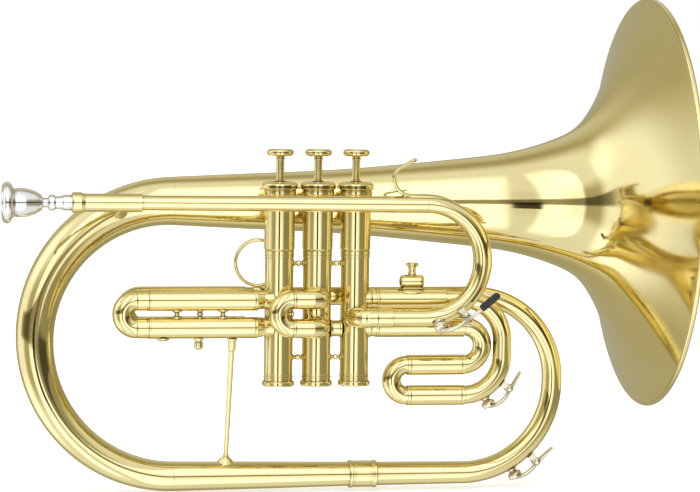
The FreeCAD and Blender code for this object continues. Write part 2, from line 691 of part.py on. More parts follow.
class WaterKey:
    """A water key on the outside of a bow. Angles are measured round the bow's centre from +X, and
    tilt turns the key from the bow's plane towards -Y."""

    def __init__(self, centre, bow_radius, tube_radius, cup, pivot, tip, rise, tilt):
        self.centre = centre
        self.bow_radius = bow_radius
        self.tube_radius = tube_radius
        self.cup_angle = cup
        self.pivot_angle = pivot
        self.tip_angle = tip
        self.rise = rise
        self.tilt = math.radians(tilt)

    def outward(self, angle):
        a = math.radians(angle)
        radial = V(math.cos(a), 0, math.sin(a))
        return radial * math.cos(self.tilt) - Y_AXIS * math.sin(self.tilt)

    def along(self, angle):
        a = math.radians(angle)
        return V(-math.sin(a), 0, math.cos(a))

    def spot(self, angle, height):
        """Point above the tube's surface."""
        a = math.radians(angle)
        middle = self.centre + V(math.cos(a), 0, math.sin(a)) * self.bow_radius
        return middle + self.outward(angle) * (self.tube_radius + height)

    def hinge(self):
        """Pivot point and hinge axis."""
        axis = self.outward(self.pivot_angle).cross(self.along(self.pivot_angle)).normalize()
        return self.spot(self.pivot_angle, PIVOT_HEIGHT), axis

    def tube_blank(self):
        half = 6.0
        start = self.cup_angle - half
        sweep = self.tip_angle - start + half
        a = math.radians(start)
        place = self.centre + V(math.cos(a), 0, math.sin(a)) * self.bow_radius
        heading = self.along(start)
        return bent_tube(place, heading, [(self.bow_radius, -sweep, Y_AXIS)], self.tube_radius)

    def saddle(self):
        """Two ears that carry the pivot, and the drain nipple under the cork."""
        pivot, axis = self.hinge()
        out = self.outward(self.pivot_angle)
        pieces = []
        for side in (-1, 1):
            middle = pivot + axis * (side * EAR_OFFSET)
            ear_t = 1.1
            foot = middle - out * (PIVOT_HEIGHT + 1.5)
            head = rod(middle - axis * (ear_t / 2), middle + axis * (ear_t / 2), 2.1)
            plate = Part.makeBox(3.4, ear_t, PIVOT_HEIGHT + 1.5)
            plate.translate(V(-1.7, -ear_t / 2, 0))
            turn = FreeCAD.Rotation(V(0, 0, 0), axis, out, "ZYX")
            plate.Placement = FreeCAD.Placement(foot, turn).multiply(plate.Placement)
            ear = join([head, plate])
            ear = ear.cut(rod(middle - axis * 3, middle + axis * 3, PIN_R + FIT))
            pieces.append(ear.cut(self.tube_blank()))
        nipple = rod(self.spot(self.cup_angle, -1.0), self.spot(self.cup_angle, NIPPLE_H), 2.6, 1.3)
        pieces.append(nipple.cut(self.tube_blank()))
        return pieces

    def screw(self):
        """Pivot screw with a slotted head."""
        pivot, axis = self.hinge()
        start = pivot - axis * (EAR_OFFSET + 0.9)
        shank = rod(start, pivot + axis * (EAR_OFFSET + 0.6), PIN_R)
        head = rod(pivot + axis * (EAR_OFFSET + 0.6), pivot + axis * (EAR_OFFSET + 1.7), 1.8)
        return join([shank, head])

    def mounting(self):
        return self.saddle() + [self.screw()]

    def spring(self):
        """Torsion spring: two pairs of turns round the lever's hub."""
        pivot, axis = self.hinge()
        turns = []
        for offset in (-2.5, -1.85, 1.85, 2.5):
            turns.append(Part.makeTorus(2.55, 0.28, pivot + axis * offset, axis))
        return turns

    def lever(self):
        """Hub, both arms, cork cup and finger plate."""
        pivot, axis = self.hinge()
        cup_base = NIPPLE_H + GAP
        hub = rod(pivot - axis * 3.0, pivot + axis * 3.0, 2.0, PIN_R + FIT)
        blank = rod(pivot - axis * 3.0, pivot + axis * 3.0, PIN_R + FIT)
        middle = (self.pivot_angle + self.cup_angle) / 2
        to_tip = (self.pivot_angle + self.tip_angle) / 2
        back = self.spot(self.cup_angle, cup_base + CUP_H + ARM_R)
        arm = chain([back, self.spot(middle, cup_base + CUP_H + 2.0), pivot], ARM_R)
        finger = chain([pivot, self.spot(to_tip, PIVOT_HEIGHT + 0.35 * self.rise),
                        self.spot(self.tip_angle, PIVOT_HEIGHT + self.rise)], ARM_R)
        out = self.outward(self.cup_angle)
        cup = turned(((0, CORK_R + FIT), (0, 4.7), (CUP_H - 1.0, 4.7), (CUP_H, 3.6), (CUP_H, 0),
                      (CUP_H - 1.0, 0), (CUP_H - 1.0, CORK_R + FIT)),
                     self.spot(self.cup_angle, cup_base + 0.8), out)
        shape = join([arm, finger, cup]).cut(blank)
        return join([shape, hub])

    def cork(self):
        base = NIPPLE_H + GAP
        return rod(self.spot(self.cup_angle, base), self.spot(self.cup_angle, base + CUP_H - 0.25), CORK_R)

    def grip(self):
        """Rubber tube pushed over the finger end of the lever."""
        to_tip = (self.pivot_angle + self.tip_angle) / 2
        start = self.spot(to_tip, PIVOT_HEIGHT + 0.35 * self.rise)
        end = self.spot(self.tip_angle, PIVOT_HEIGHT + self.rise)
        heading = (end - start).normalize()
        a = start + heading * 1.0
        b = end + heading * 2.0
        sleeve = rod(a, b, 2.5)
        return sleeve.fuse(Part.makeSphere(2.5, b)).removeSplitter().cut(chain([start, end], ARM_R + FIT))


FRONT_KEY = WaterKey(V(FRONT_BOW_X, LEAD_Y, (LEAD_Z + BRANCH_Z) / 2), (LEAD_Z - BRANCH_Z) / 2, LEG_R,
                     -78.5, -55.0, -30.0, 5.5, 50.0)
THIRD_KEY = WaterKey(V(BIG_BEND_X - BIG_LOW_R, 0, RETURN_Z[1] + BIG_LOW_R), BIG_LOW_R, LEG_R,
                     -62.0, -35.0, -16.0, 2.4, 0.0)
BOTTOM_KEY = WaterKey(V(RIGHT_BOW_X - RIGHT_LOW_R, BOTTOM_KEY_Y, BOTTOM_Z + RIGHT_LOW_R), RIGHT_LOW_R,
                      BOTTOM_KEY_TUBE_R, -60.0, -46.5, -36.0, 2.7, 0.0)


# ---------------------------------------------------------------- grips, braces and fittings

def finger_ring():
    """Ring for the left hand, standing behind the first casing on the rear sleeve."""
    outer = 16.5
    inner = 14.6
    middle = V(-38.2, 13.0, 24.2)
    half = V(0, 2.2, 0)
    ring = rod(middle - half, middle + half, outer, inner)
    foot = Part.makeBox(9.0, 4.4, 4.0, V(-43.4, 10.8, 5.6))
    rail = rod(V(-60, REAR_Y, REAR_Z[0]), V(-20, REAR_Y, REAR_Z[0]), REAR_SLEEVE_R)
    hole = rod(middle - half * 2, middle + half * 2, inner)
    return join([ring, foot.cut(hole)]).cut(rail)


def finger_hook():
    """Open hook for the right little finger: a flat strip bent up from the leadpipe, with a saddle foot
    that runs on over the start of the front bow."""
    thickness = 1.9
    width = 5.4
    steps = [(11.0, 90, Y_AXIS), (8.0, 62.4, Y_AXIS), 12.3]

    def strip(place, heading):
        across = Y_AXIS * (width / 2)
        out = heading.cross(Y_AXIS).normalize() * (thickness / 2)
        return Part.Face(Part.makePolygon([place - across - out, place + across - out, place + across + out,
                                           place - across + out, place - across - out]))

    root = V(59.3, LEAD_Y, LEAD_Z + LEAD_R + thickness / 2 - 0.1)
    hook = swept(root, -X_AXIS, steps, strip)
    tip = V(63.49, LEAD_Y, root.z + 23.79)
    lean = math.radians(90.0 - 62.4)
    face = V(-math.sin(lean), 0, math.cos(lean)) * (thickness / 2)
    hook = join([hook, rod(tip - face, tip + face, width / 2)])
    shell = rod(V(54.0, LEAD_Y, LEAD_Z), V(FRONT_BOW_X, LEAD_Y, LEAD_Z), LEAD_R + 1.6, LEAD_R)
    foot = shell.common(Part.makeBox(60, 7.0, 10, V(30.0, LEAD_Y - 3.5, LEAD_Z + 2.0)))
    bow_r = (LEAD_Z - BRANCH_Z) / 2
    tongue = bent_tube(V(FRONT_BOW_X, LEAD_Y, LEAD_Z), X_AXIS, [(bow_r, 24.0, Y_AXIS)],
                       LEAD_R + 1.6, LEAD_R)
    tongue = tongue.common(Part.makeBox(40, 5.4, 30, V(60.0, LEAD_Y - 2.7, LEAD_Z - 7.0)))
    keep = bent_tube(V(FRONT_BOW_X, LEAD_Y, LEAD_Z + 6.0), X_AXIS, [(bow_r + 6.0, 24.5, Y_AXIS)], 6.0)
    tongue = tongue.common(keep)
    pipe = rod(V(30, LEAD_Y, LEAD_Z), V(FRONT_BOW_X, LEAD_Y, LEAD_Z), LEAD_R)
    return join([hook.cut(pipe), foot, tongue]).cut(front_bow())


def lyre_holder():
    """Socket for a music lyre, on a saddle over the upper third-slide sleeve."""
    length = LYRE_X[1] - LYRE_X[0]
    edge = 1.6
    outline = ((0, LYRE_BORE), (0, LYRE_R - edge), ((0.45, LYRE_R - 0.45), "arc", (edge, LYRE_R)),
               (length - edge, LYRE_R), ((length - 0.45, LYRE_R - 0.45), "arc", (length, LYRE_R - edge)),
               (length, LYRE_BORE))
    barrel = turned(outline, V(LYRE_X[0], 0, LYRE_Z), X_AXIS)
    base = THIRD_Z[0] + SLEEVE_R
    saddle = Part.makeBox(length - 1.2, 7.6, LYRE_Z - base + 2.0, V(LYRE_X[0] + 0.6, -3.8, base - 2.0))
    sleeve = rod(V(50, 0, THIRD_Z[0]), V(80, 0, THIRD_Z[0]), SLEEVE_R)
    bore = rod(V(50, 0, LYRE_Z), V(80, 0, LYRE_Z), LYRE_BORE)
    thread = rod(V(65.0, 0, LYRE_Z), V(65.0, 0, LYRE_Z + 8.0), 1.5 + FIT)
    return join([barrel, saddle]).cut(sleeve).cut(bore).cut(thread)


def lyre_screw():
    """Thumbscrew that grips the lyre's stem; it is screwed back until the bore is free."""
    base = LYRE_Z + LYRE_BORE + 0.1
    collar = LYRE_Z + LYRE_R + 0.4
    head = collar + 5.2
    outline = ((base, 0), (base, 1.5), (collar, 1.5), (collar, 2.6), (head, 2.2), (head, 4.1),
               (head + 2.4, 4.1), (head + 2.4, 0))
    return turned(outline, V(65.0, 0, 0), Z_AXIS)


def brace_rod():
    """Long brace from the lower first-slide sleeve to the bottom tube."""
    x = -57.8
    top = V(x, FIRST_Y, FIRST_Z[1] - SLEEVE_R + 0.8)
    foot = V(x, BOTTOM_Y, BOTTOM_Z + 8.4)
    down = foot - top
    length = down.Length
    outline = ((0, 0), (0, 3.3), (1.8, 3.3), (2.4, 2.7), (9.0, 2.7), (10.0, 1.9), (length - 9.0, 1.5),
               (length - 5.0, 2.0), (length - 2.6, 4.6), (length, 5.4), (length, 0))
    bar = turned(outline, top, down)
    sleeve = rod(V(-80, FIRST_Y, FIRST_Z[1]), V(-40, FIRST_Y, FIRST_Z[1]), SLEEVE_R)
    return bar.cut(sleeve).cut(solid_bottom())


def solid_bottom():
    """The bottom tube's outside, filled."""
    run = JOINT_X - BOW_X
    outline = ((0, 0), (0, BOTTOM_R), (run * 0.5, 0.5 * (BOTTOM_R + BOW_ROOT_R) + 0.1), (run, BOW_ROOT_R),
               (run, 0))
    return turned(outline, V(JOINT_X, BOTTOM_Y, BOTTOM_Z), -X_AXIS)


def receiver_brace():
    """Turned brace from the receiver back to the top of the left bow."""
    start = V(-131.0, LEAD_Y, LEAD_Z)
    place = left_bow_station(157.0)[0]
    end = V(-131.0, place.y, place.z)
    length = (end - start).Length
    outline = ((0, 0), (0, 3.8), (7.4, 3.8), (8.4, 1.8), (16.0, 1.5), ((18.5, 3.0), "arc", (21.0, 1.5)),
               (length - 19.5, 1.8), (length - 17.5, 4.6), (length - 8.0, 5.0), (length - 8.0, 0))
    bar = turned(outline, start, end - start)
    pipe = rod(V(-150, LEAD_Y, LEAD_Z), V(-110, LEAD_Y, LEAD_Z), 6.1)
    return bar.cut(pipe).cut(left_bow_blank())


def bell_braces():
    """Posts from the outer casings back to the underside of the bell."""
    bars = []
    blank = bell_blank()
    for x in (VALVE_X[0], VALVE_X[2]):
        start = V(x, BARREL_R - 0.6, 50.0)
        end = V(x, 28.0, 50.0)
        bar = turned(((0, 0), (0, 3.4), (1.6, 3.2), (2.6, 1.9), (8.0, 1.9), (18.0, 4.2), (18.0, 0)),
                     start, end - start)
        barrel = rod(V(x, 0, BARREL_BOTTOM), V(x, 0, BARREL_TOP), BARREL_R)
        bars.append(bar.cut(blank).cut(barrel))
    return bars


def tube_braces():
    """Short posts that tie the tubes to one another, to the casings and to the bell."""
    posts = bell_braces()
    for x in (VALVE_X[0], VALVE_X[2]):
        post = rod(V(x, -BARREL_R + 0.8, LEAD_Z), V(x, LEAD_Y + 2.0, LEAD_Z), 2.6)
        barrel = rod(V(x, 0, BARREL_BOTTOM), V(x, 0, BARREL_TOP), BARREL_R)
        pipe = rod(V(x - 10, LEAD_Y, LEAD_Z), V(x + 10, LEAD_Y, LEAD_Z), LEAD_R)
        posts.append(post.cut(barrel).cut(pipe))
    z = REAR_Z[0]
    for x in (VALVE_X[1], VALVE_X[2]):
        post = rod(V(x, CASING_R - 0.6, z), V(x, REAR_Y - 4.0, z), 2.4)
        rail = rod(V(x - 10, REAR_Y, z), V(x + 10, REAR_Y, z), REAR_TUBE_R)
        posts.append(post.cut(casing_blank(x)).cut(rail))
    x = 62.0
    post = rod(V(x, SLEEVE_R - 0.8, z), V(x, REAR_Y - 4.0, z), 2.4)
    rail = rod(V(x - 10, REAR_Y, z), V(x + 10, REAR_Y, z), REAR_TUBE_R)
    sleeve = rod(V(x - 10, 0, THIRD_Z[0]), V(x + 10, 0, THIRD_Z[0]), SLEEVE_R)
    posts.append(post.cut(rail).cut(sleeve))
    for x in (-98.0, -54.0):
        for front, back in zip(FIRST_Z, REAR_Z):
            level = (front + back) / 2
            post = rod(V(x, FIRST_Y + 5.0, level), V(x, REAR_Y - 5.0, level), 2.0)
            rails = [rod(V(x - 9, FIRST_Y, front), V(x + 9, FIRST_Y, front), SLEEVE_R),
                     rod(V(x - 9, REAR_Y, back), V(x + 9, REAR_Y, back), REAR_SLEEVE_R)]
            posts.append(post.cut(rails[0]).cut(rails[1]))
    return group(posts)


def mouthpiece():
    """Deep-cup mouthpiece; its shank tapers into the receiver."""
    throat = 2.3
    outline = ((0.0, 9.4), ((0.55, 9.0), "arc", (1.6, 8.5)), ((6.0, 7.9), "arc", (11.0, 6.0)),
               ((15.0, 4.0), "arc", (20.0, throat)), (30.0, throat), (66.0, 4.1), (66.0, 4.85),
               (45.5, 5.3), (39.7, 5.3), (39.3, 4.4), (34.6, 4.3), (34.4, 5.1),
               ((32.3, 5.4), "arc", (30.3, 5.1)), (30.0, 3.3), (26.1, 3.3), (25.9, 5.0), (25.0, 5.2),
               ((22.6, 6.3), "arc", (19.1, 8.1)), ((16.0, 9.1), "arc", (12.0, 9.6)), (10.2, 9.7),
               (9.4, 9.4), ((7.9, 9.2), "arc", (6.9, 10.2)), (6.0, 12.1), (4.8, 13.3),
               ((3.0, 13.8), "arc", (1.2, 13.2)), ((0.2, 12.3), "arc", (0.0, 11.2)))
    return turned(outline, V(MOUTHPIECE_RIM_X, LEAD_Y, LEAD_Z), X_AXIS)


# ---------------------------------------------------------------- write every node

def casing_ports():
    """Drills for the ports of each casing, first to third."""
    x1, x2, x3 = VALVE_X
    first = [rod(V(x1, FIRST_Y, z), V(x1 - 20, FIRST_Y, z), KNUCKLE_BORE) for z in FIRST_Z]
    first.append(bore_cut(x1, 0, LINK_Z, X_AXIS, 4.8))
    first.append(bore_cut(x1, 0, LINK_Z, V(-0.5, math.sqrt(0.75), 0)))
    second = [bore_cut(x2, 0, z, -Y_AXIS, SECOND_BORE - WALL) for z in SECOND_Z]
    second += [bore_cut(x2, 0, LINK_Z, X_AXIS, 4.8), bore_cut(x2, 0, LINK_Z, -X_AXIS, 4.8)]
    third = [bore_cut(x3, 0, z, X_AXIS) for z in THIRD_Z]
    third += [bore_cut(x3, 0, LINK_Z, -X_AXIS, 4.8), bore_cut(x3, 0, BRANCH_Z, -Y_AXIS, 5.6)]
    return first, second, third


def build():
    stem_half, flare_half = bell_halves()
    nodes = {
        "bell_stem": stem_half,
        "bell_flare": flare_half,
        "bell_rim": bell_rim(),
        "left_bow": left_bow(),
        "bottom_tube": bottom_tube(),
        "bottom_ferrule": bottom_ferrule(),
        "right_bow": right_bow(),
        "rear_tube": rear_tube(),
        "main_slide_sleeves": rear_sleeves(),
        "main_tuning_slide": main_slide(),
        "receiver": receiver(),
        "leadpipe": leadpipe(),
        "front_bow": front_bow(),
        "valve_inlet_elbow": inlet_elbow(),
        "valve_outlet_elbow": outlet(),
        "valve_knuckles": knuckles(),
        "casing_braces": casing_braces(),
        "first_slide_sleeves": first_sleeves(),
        "first_slide_struts": first_struts(),
        "first_slide": first_slide(),
        "second_slide_sleeves": second_sleeves(),
        "second_slide": second_slide(),
        "third_slide_sleeves": third_sleeves(),
        "third_slide_small_bend": third_small_bend(),
        "third_slide_big_bend": third_big_bend(),
        "third_slide_returns": third_returns(),
        "third_slide_tuning_bow": third_bow(),
        "finger_ring": finger_ring(),
        "finger_hook": finger_hook(),
        "lyre_holder": lyre_holder(),
        "lyre_thumbscrew": lyre_screw(),
        "brace_rod": brace_rod(),
        "receiver_brace": receiver_brace(),
        "tube_braces": tube_braces(),
        "mouthpiece": mouthpiece(),
        "top_valve_caps": group([top_cap(x) for x in VALVE_X]),
        "bottom_valve_caps": group([bottom_cap(x) for x in VALVE_X]),
        "valve_guides": group([valve_guide(x) for x in VALVE_X]),
    }
    passages = ([(LINK_Z, X_AXIS), (-8.0, Y_AXIS), (3.0, X_AXIS)],
                [(LINK_Z, X_AXIS), (-7.5, Y_AXIS), (4.0, Y_AXIS)],
                [(LINK_Z, X_AXIS), (-8.5, Y_AXIS), (3.0, X_AXIS)])
    for number, x, ports, bores in zip((1, 2, 3), VALVE_X, casing_ports(), passages):
        nodes["valve_%d_casing" % number] = casing(x, ports)
        nodes["valve_%d_piston" % number] = piston(x, bores)
        nodes["valve_%d_stem" % number] = stem(x)
        nodes["valve_%d_spring" % number] = valve_spring(x)
    root_keys = (FRONT_KEY, BOTTOM_KEY)
    nodes["water_key_saddles"] = group([piece for key in root_keys for piece in key.mounting()])
    nodes["third_key_saddle"] = group(THIRD_KEY.mounting())
    nodes["water_key_springs"] = group([turn for key in root_keys for turn in key.spring()])
    for name, key in (("front", FRONT_KEY), ("third", THIRD_KEY), ("bottom", BOTTOM_KEY)):
        nodes[name + "_water_key"] = key.lever()
        nodes[name + "_key_cork"] = key.cork()
    nodes["front_key_grip"] = FRONT_KEY.grip()
    return nodes


def main():
    os.makedirs("parts", exist_ok=True)
    for name, shape in build().items():
        state = "" if shape.isValid() else "  INVALID"
        print("%-24s solids %2d  volume %9.1f%s" % (name, len(shape.Solids), shape.Volume, state))
        shape.exportStep("parts/%s.step" % name)
    for name, key in (("front", FRONT_KEY), ("third", THIRD_KEY), ("bottom", BOTTOM_KEY)):
        pivot, axis = key.hinge()
        print("%s key pivot %.3f %.3f %.3f" % ((name,) + tuple(pivot)), "axis %.5f %.5f %.5f" % tuple(axis))


main()
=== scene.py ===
import json
import math

import bmesh
import bpy
from mathutils import Matrix, Vector

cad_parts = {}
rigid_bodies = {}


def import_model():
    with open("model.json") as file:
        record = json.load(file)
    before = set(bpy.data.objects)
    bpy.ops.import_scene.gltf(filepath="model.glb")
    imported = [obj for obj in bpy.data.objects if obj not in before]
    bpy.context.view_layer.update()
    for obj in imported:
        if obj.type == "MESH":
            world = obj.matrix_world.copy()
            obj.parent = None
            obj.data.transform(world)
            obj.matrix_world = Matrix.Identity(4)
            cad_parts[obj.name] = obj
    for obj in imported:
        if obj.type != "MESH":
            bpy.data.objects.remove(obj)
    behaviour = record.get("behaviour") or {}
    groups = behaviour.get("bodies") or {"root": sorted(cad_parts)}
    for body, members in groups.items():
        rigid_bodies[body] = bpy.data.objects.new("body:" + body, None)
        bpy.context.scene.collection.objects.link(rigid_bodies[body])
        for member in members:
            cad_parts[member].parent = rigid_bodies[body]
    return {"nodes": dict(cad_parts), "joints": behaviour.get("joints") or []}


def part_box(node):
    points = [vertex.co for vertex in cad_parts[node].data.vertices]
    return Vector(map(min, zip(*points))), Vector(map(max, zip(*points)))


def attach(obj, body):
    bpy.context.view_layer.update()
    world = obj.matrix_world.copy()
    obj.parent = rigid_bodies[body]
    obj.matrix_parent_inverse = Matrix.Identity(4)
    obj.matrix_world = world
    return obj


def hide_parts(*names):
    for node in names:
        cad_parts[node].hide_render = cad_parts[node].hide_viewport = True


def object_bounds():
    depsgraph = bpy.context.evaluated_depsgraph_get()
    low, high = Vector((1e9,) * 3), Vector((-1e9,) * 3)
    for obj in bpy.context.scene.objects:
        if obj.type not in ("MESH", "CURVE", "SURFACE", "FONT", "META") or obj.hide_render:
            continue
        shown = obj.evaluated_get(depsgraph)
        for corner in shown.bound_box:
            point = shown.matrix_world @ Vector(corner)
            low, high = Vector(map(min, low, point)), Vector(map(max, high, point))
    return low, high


# Looks of a bell-front marching mellophone. Shapes are worked out in millimetres in the row frame
# (+X out of the bell, +Z up the valve stems, -Y towards the leadpipe) and made in metres.

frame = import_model()
cad_box = [list(corner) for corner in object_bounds()]

MM = 0.001
X, Y, Z = Vector((1, 0, 0)), Vector((0, 1, 0)), Vector((0, 0, 1))
HORN = "horn_body"
BRASS = "lacquered_brass"
SILVER = "silver_plate"
STEEL = "spring_steel"

WALL = 0.5                    # of the tubing
LIP = 0.18                    # rounding of a tube's end
SLIDE_R = 6.35                # inner slide tubes and plain bows
SLEEVE_R = 7.15               # outer slide tubes
SLEEVE_LIP_R = 7.25           # their rolled ends
BORE_GAP = 0.05               # between an inner tube and its sleeve
SMALL_LEG_R = 5.95            # inner tubes of the second slide and the main tuning slide
SMALL_BORE_R = 6.0            # bores that they slide in
REAR_SLEEVE_R = 6.9           # outer tubes of the main tuning slide
CASING_R = 9.6                # valve casings
ELBOW_ARC = 7.0               # of the tubes that turn into a casing
ELBOW_STOP = 4.0              # how near a casing's axis such a tube is drawn before it is cut back


def span(node):
    """Lowest and highest corner of a CAD node, in millimetres."""
    low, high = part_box(node)
    return low / MM, high / MM


def centre(node):
    low, high = span(node)
    return (low + high) / 2


def tube_radius(node):
    """Outer radius of a node that is one level tube."""
    low, high = span(node)
    return (high.z - low.z) / 2


VALVE_X = {n: centre("valve_%d_casing" % n).x for n in (1, 2, 3)}


# ---------------------------------------------------------------- meshes

class Solid:
    """Closed skins of one piece, gathered ring by ring. A ring is a list of points in order."""

    def __init__(self):
        self.points = []
        self.faces = []

    def skin(self, rings, loop=True):
        """Joins each ring to the next. A ring of one point is a pole; loop joins the last to the first."""
        starts = []
        for ring in rings:
            starts.append((len(self.points), len(ring)))
            self.points += ring
        pairs = list(zip(starts, starts[1:]))
        if loop:
            pairs.append((starts[-1], starts[0]))
        for (a, count_a), (b, count_b) in pairs:
            count = max(count_a, count_b)
            for k in range(count):
                after = (k + 1) % count
                corners = [a + k, a + after, b + after, b + k]
                if count_a == 1:
                    corners = [a, b + after, b + k]
                elif count_b == 1:
                    corners = [a + k, a + after, b]
                if count_a > 1 or count_b > 1:
                    self.faces.append(corners)
        return self

    def join(self, other):
        """Takes in another solid's skins."""
        start = len(self.points)
        self.points += other.points
        self.faces += [[corner + start for corner in face] for face in other.faces]
        return self


def capped(solid, rings):
    """Skin of the rings, closed at both ends to the middle of the end ring."""
    poles = [[sum(ring, Vector()) / len(ring)] for ring in (rings[0], rings[-1])]
    return solid.skin([poles[0]] + rings + [poles[1]], loop=False)


def set_normals(mesh):
    """Shading normals weighted by face area, so that flats stay flat beside small roundings."""
    sums = [Vector() for _ in mesh.vertices]
    for face in mesh.polygons:
        push = face.normal * face.area
        for corner in face.vertices:
            sums[corner] += push
    mesh.normals_split_custom_set_from_vertices([n.normalized() if n.length else Z for n in sums])


def piece(name, solid, *nodes, rides=HORN, slot=BRASS, material=None):
    """Makes the Blender object of a solid, rides it on its body and hides the CAD nodes it stands for."""
    mesh = bpy.data.meshes.new(name)
    mesh.from_pydata([p * MM for p in solid.points], [], solid.faces)
    editing = bmesh.new()
    editing.from_mesh(mesh)
    bmesh.ops.recalc_face_normals(editing, faces=editing.faces)
    editing.to_mesh(mesh)
    editing.free()
    mesh.polygons.foreach_set("use_smooth", [True] * len(mesh.polygons))
    set_normals(mesh)
    mesh.materials.append(material or MATERIALS[slot])
    thing = bpy.data.objects.new(name, mesh)
    bpy.context.scene.collection.objects.link(thing)
    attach(thing, rides)
    if nodes:
        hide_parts(*nodes)


class Route:
    """Centreline of straight runs and arcs. A step is a length, or (arc radius, degrees, turning axis)."""

    def __init__(self, start, heading, steps, side=None):
        place, heading = Vector(start), Vector(heading).normalized()
        if side is None:
            guide = Y if abs(heading.y) < 0.9 else Z
            side = heading.cross(guide).normalized()
        self.legs = []
        self.length = 0.0
        for step in steps:
            run = math.radians(abs(step[1])) * step[0] if isinstance(step, tuple) else step
            self.legs.append((self.length, run, place.copy(), heading.copy(), side.copy(), step))
            place, heading, side = self.on_leg(self.legs[-1], run)
            self.length += run

    @staticmethod
    def on_leg(leg, far):
        _, run, place, heading, side, step = leg
        if not isinstance(step, tuple):
            return place + heading * far, heading, side
        arc, degrees, axis = step
        hub = place + axis.cross(heading) * math.copysign(arc, degrees)
        turn = Matrix.Rotation(math.radians(degrees) * far / run, 3, axis)
        return hub + turn @ (place - hub), turn @ heading, turn @ side

    def at(self, far):
        """Place, heading and side at a distance along the route."""
        leg = self.legs[0]
        for candidate in self.legs:
            if candidate[0] <= far:
                leg = candidate
        return self.on_leg(leg, far - leg[0])

    def breaks(self, degrees=3.0):
        """Distances at which a curved skin needs a ring."""
        spots = []
        for start, run, *_, step in self.legs:
            count = max(1, round(abs(step[1]) / degrees)) if isinstance(step, tuple) else 1
            spots += [start + run * k / count for k in range(count)]
        return spots + [self.length]


def straight(start, end):
    """Route of one run."""
    start, end = Vector(start), Vector(end)
    return Route(start, end - start, [(end - start).length])


def rounded(corners, fillet, loop=True):
    """Outline with its corners rounded. A corner is (distance, radius), or with its own fillet third."""
    count = len(corners)
    path = []
    for k, corner in enumerate(corners):
        here = Vector(corner[:2])
        size = corner[2] if len(corner) > 2 else fillet
        if not loop and k in (0, count - 1):
            path.append(here)
            continue
        back = Vector(corners[k - 1][:2]) - here
        ahead = Vector(corners[(k + 1) % count][:2]) - here
        if back.length < 1e-6 or ahead.length < 1e-6:
            continue
        bend = math.pi - back.angle(ahead)
        if bend < math.radians(12) or size <= 0:
            path.append(here)
            continue
        reach = min(size * math.tan(bend / 2), 0.45 * back.length, 0.45 * ahead.length)
        steps = max(2, round(math.degrees(bend) / 22))
        start, end = here + back.normalized() * reach, here + ahead.normalized() * reach
        for step in range(steps + 1):
            t = step / steps
            path.append(start * (1 - t) ** 2 + here * (2 * t * (1 - t)) + end * t ** 2)
    return path


def flowing(points, per=6):
    """Smooth curve through points, as a list of points."""
    points = [Vector(p) for p in points]
    ends = [points[0] * 2 - points[1]] + points + [points[-1] * 2 - points[-2]]
    path = []
    for a, b, c, d in zip(ends, ends[1:], ends[2:], ends[3:]):
        for k in range(per):
            t = k / per
            path.append(0.5 * ((2 * b) + (c - a) * t + (2 * a - 5 * b + 4 * c - d) * t * t
                               + (3 * b - a - 3 * c + d) * t ** 3))
    return path + [points[-1]]


def circle(place, heading, side, radius, around, flutes=None):
    """Ring round a place, or the place itself at no radius. flutes is (every, depth) of knurling."""
    if radius < 1e-6:
        return [place]
    up = heading.cross(side)
    ring = []
    for k in range(around):
        turn = 2 * math.pi * k / around
        out = radius - (flutes[1] if flutes and k % flutes[0] == 0 else 0.0)
        ring.append(place + (side * math.cos(turn) + up * math.sin(turn)) * out)
    return ring


def along(solid, route, outline, around=48, fillet=LIP, knurl=None):
    """Skin of an outline of (distance, radius) corners carried round a route. An outline that starts and
    ends on the axis is a filled shape; any other closes on itself. knurl is (from, to, depth,
    every, smallest radius that it marks)."""
    filled = outline[0][1] < 1e-6 and outline[-1][1] < 1e-6
    path = rounded(outline, fillet, not filled)
    spots = route.breaks() if any(isinstance(leg[5], tuple) for leg in route.legs) else []
    dense = []
    pairs = list(zip(path, path[1:])) + ([] if filled else [(path[-1], path[0])])
    for a, b in pairs:
        dense.append(a)
        if abs(b.x - a.x) > 1e-6:
            inside = [s for s in spots if min(a.x, b.x) + 0.05 < s < max(a.x, b.x) - 0.05]
            for s in sorted(inside, reverse=b.x < a.x):
                dense.append(a.lerp(b, (s - a.x) / (b.x - a.x)))
    if filled:
        dense.append(path[-1])
    rings = []
    for far, radius in dense:
        place, heading, side = route.at(far)
        flutes = None
        if knurl and knurl[0] <= far <= knurl[1] and radius > knurl[4]:
            flutes = (knurl[3], knurl[2])
        rings.append(circle(place, heading, side, radius, around, flutes))
    return solid.skin(rings, loop=not filled)


def tube(solid, route, radius, wall=WALL, ends=None, around=48):
    """Plain tube along the whole route, or between two distances."""
    low, high = ends or (0.0, route.length)
    outline = [(low, radius), (high, radius), (high, radius - wall), (low, radius - wall)]
    return along(solid, route, outline, around)


def walled(outer, wall=WALL):
    """Outline of an open tube, from its outer line."""
    return outer + [(far, radius - wall) for far, radius in reversed(outer)]


def mirrored(half, length, middle=()):
    """Outline of a shape that is the same from both ends, from its first half."""
    back = [(length - corner[0], *corner[1:]) for corner in reversed(half)]
    return [*half, *middle, *back]


def eased(share):
    """Goes from 0 to 1 with level ends, and stays there outside them."""
    share = min(1.0, max(0.0, share))
    return share * share * (3 - 2 * share)


def line(far, radius, half=0.45, depth=0.25):
    """Corners of a fine turned line round a tube, for an outline of growing distance."""
    return [(far - half, radius, 0.08), (far, radius - depth, 0.12), (far + half, radius, 0.08)]


def lined_tube(solid, route, radius, bore, lines, around=48):
    """Tube along the whole route with fine lines at the given distances."""
    outline = [(0, radius)]
    for far in lines:
        outline += line(far, radius)
    outline += [(route.length, radius), (route.length, bore), (0, bore)]
    return along(solid, route, outline, around)


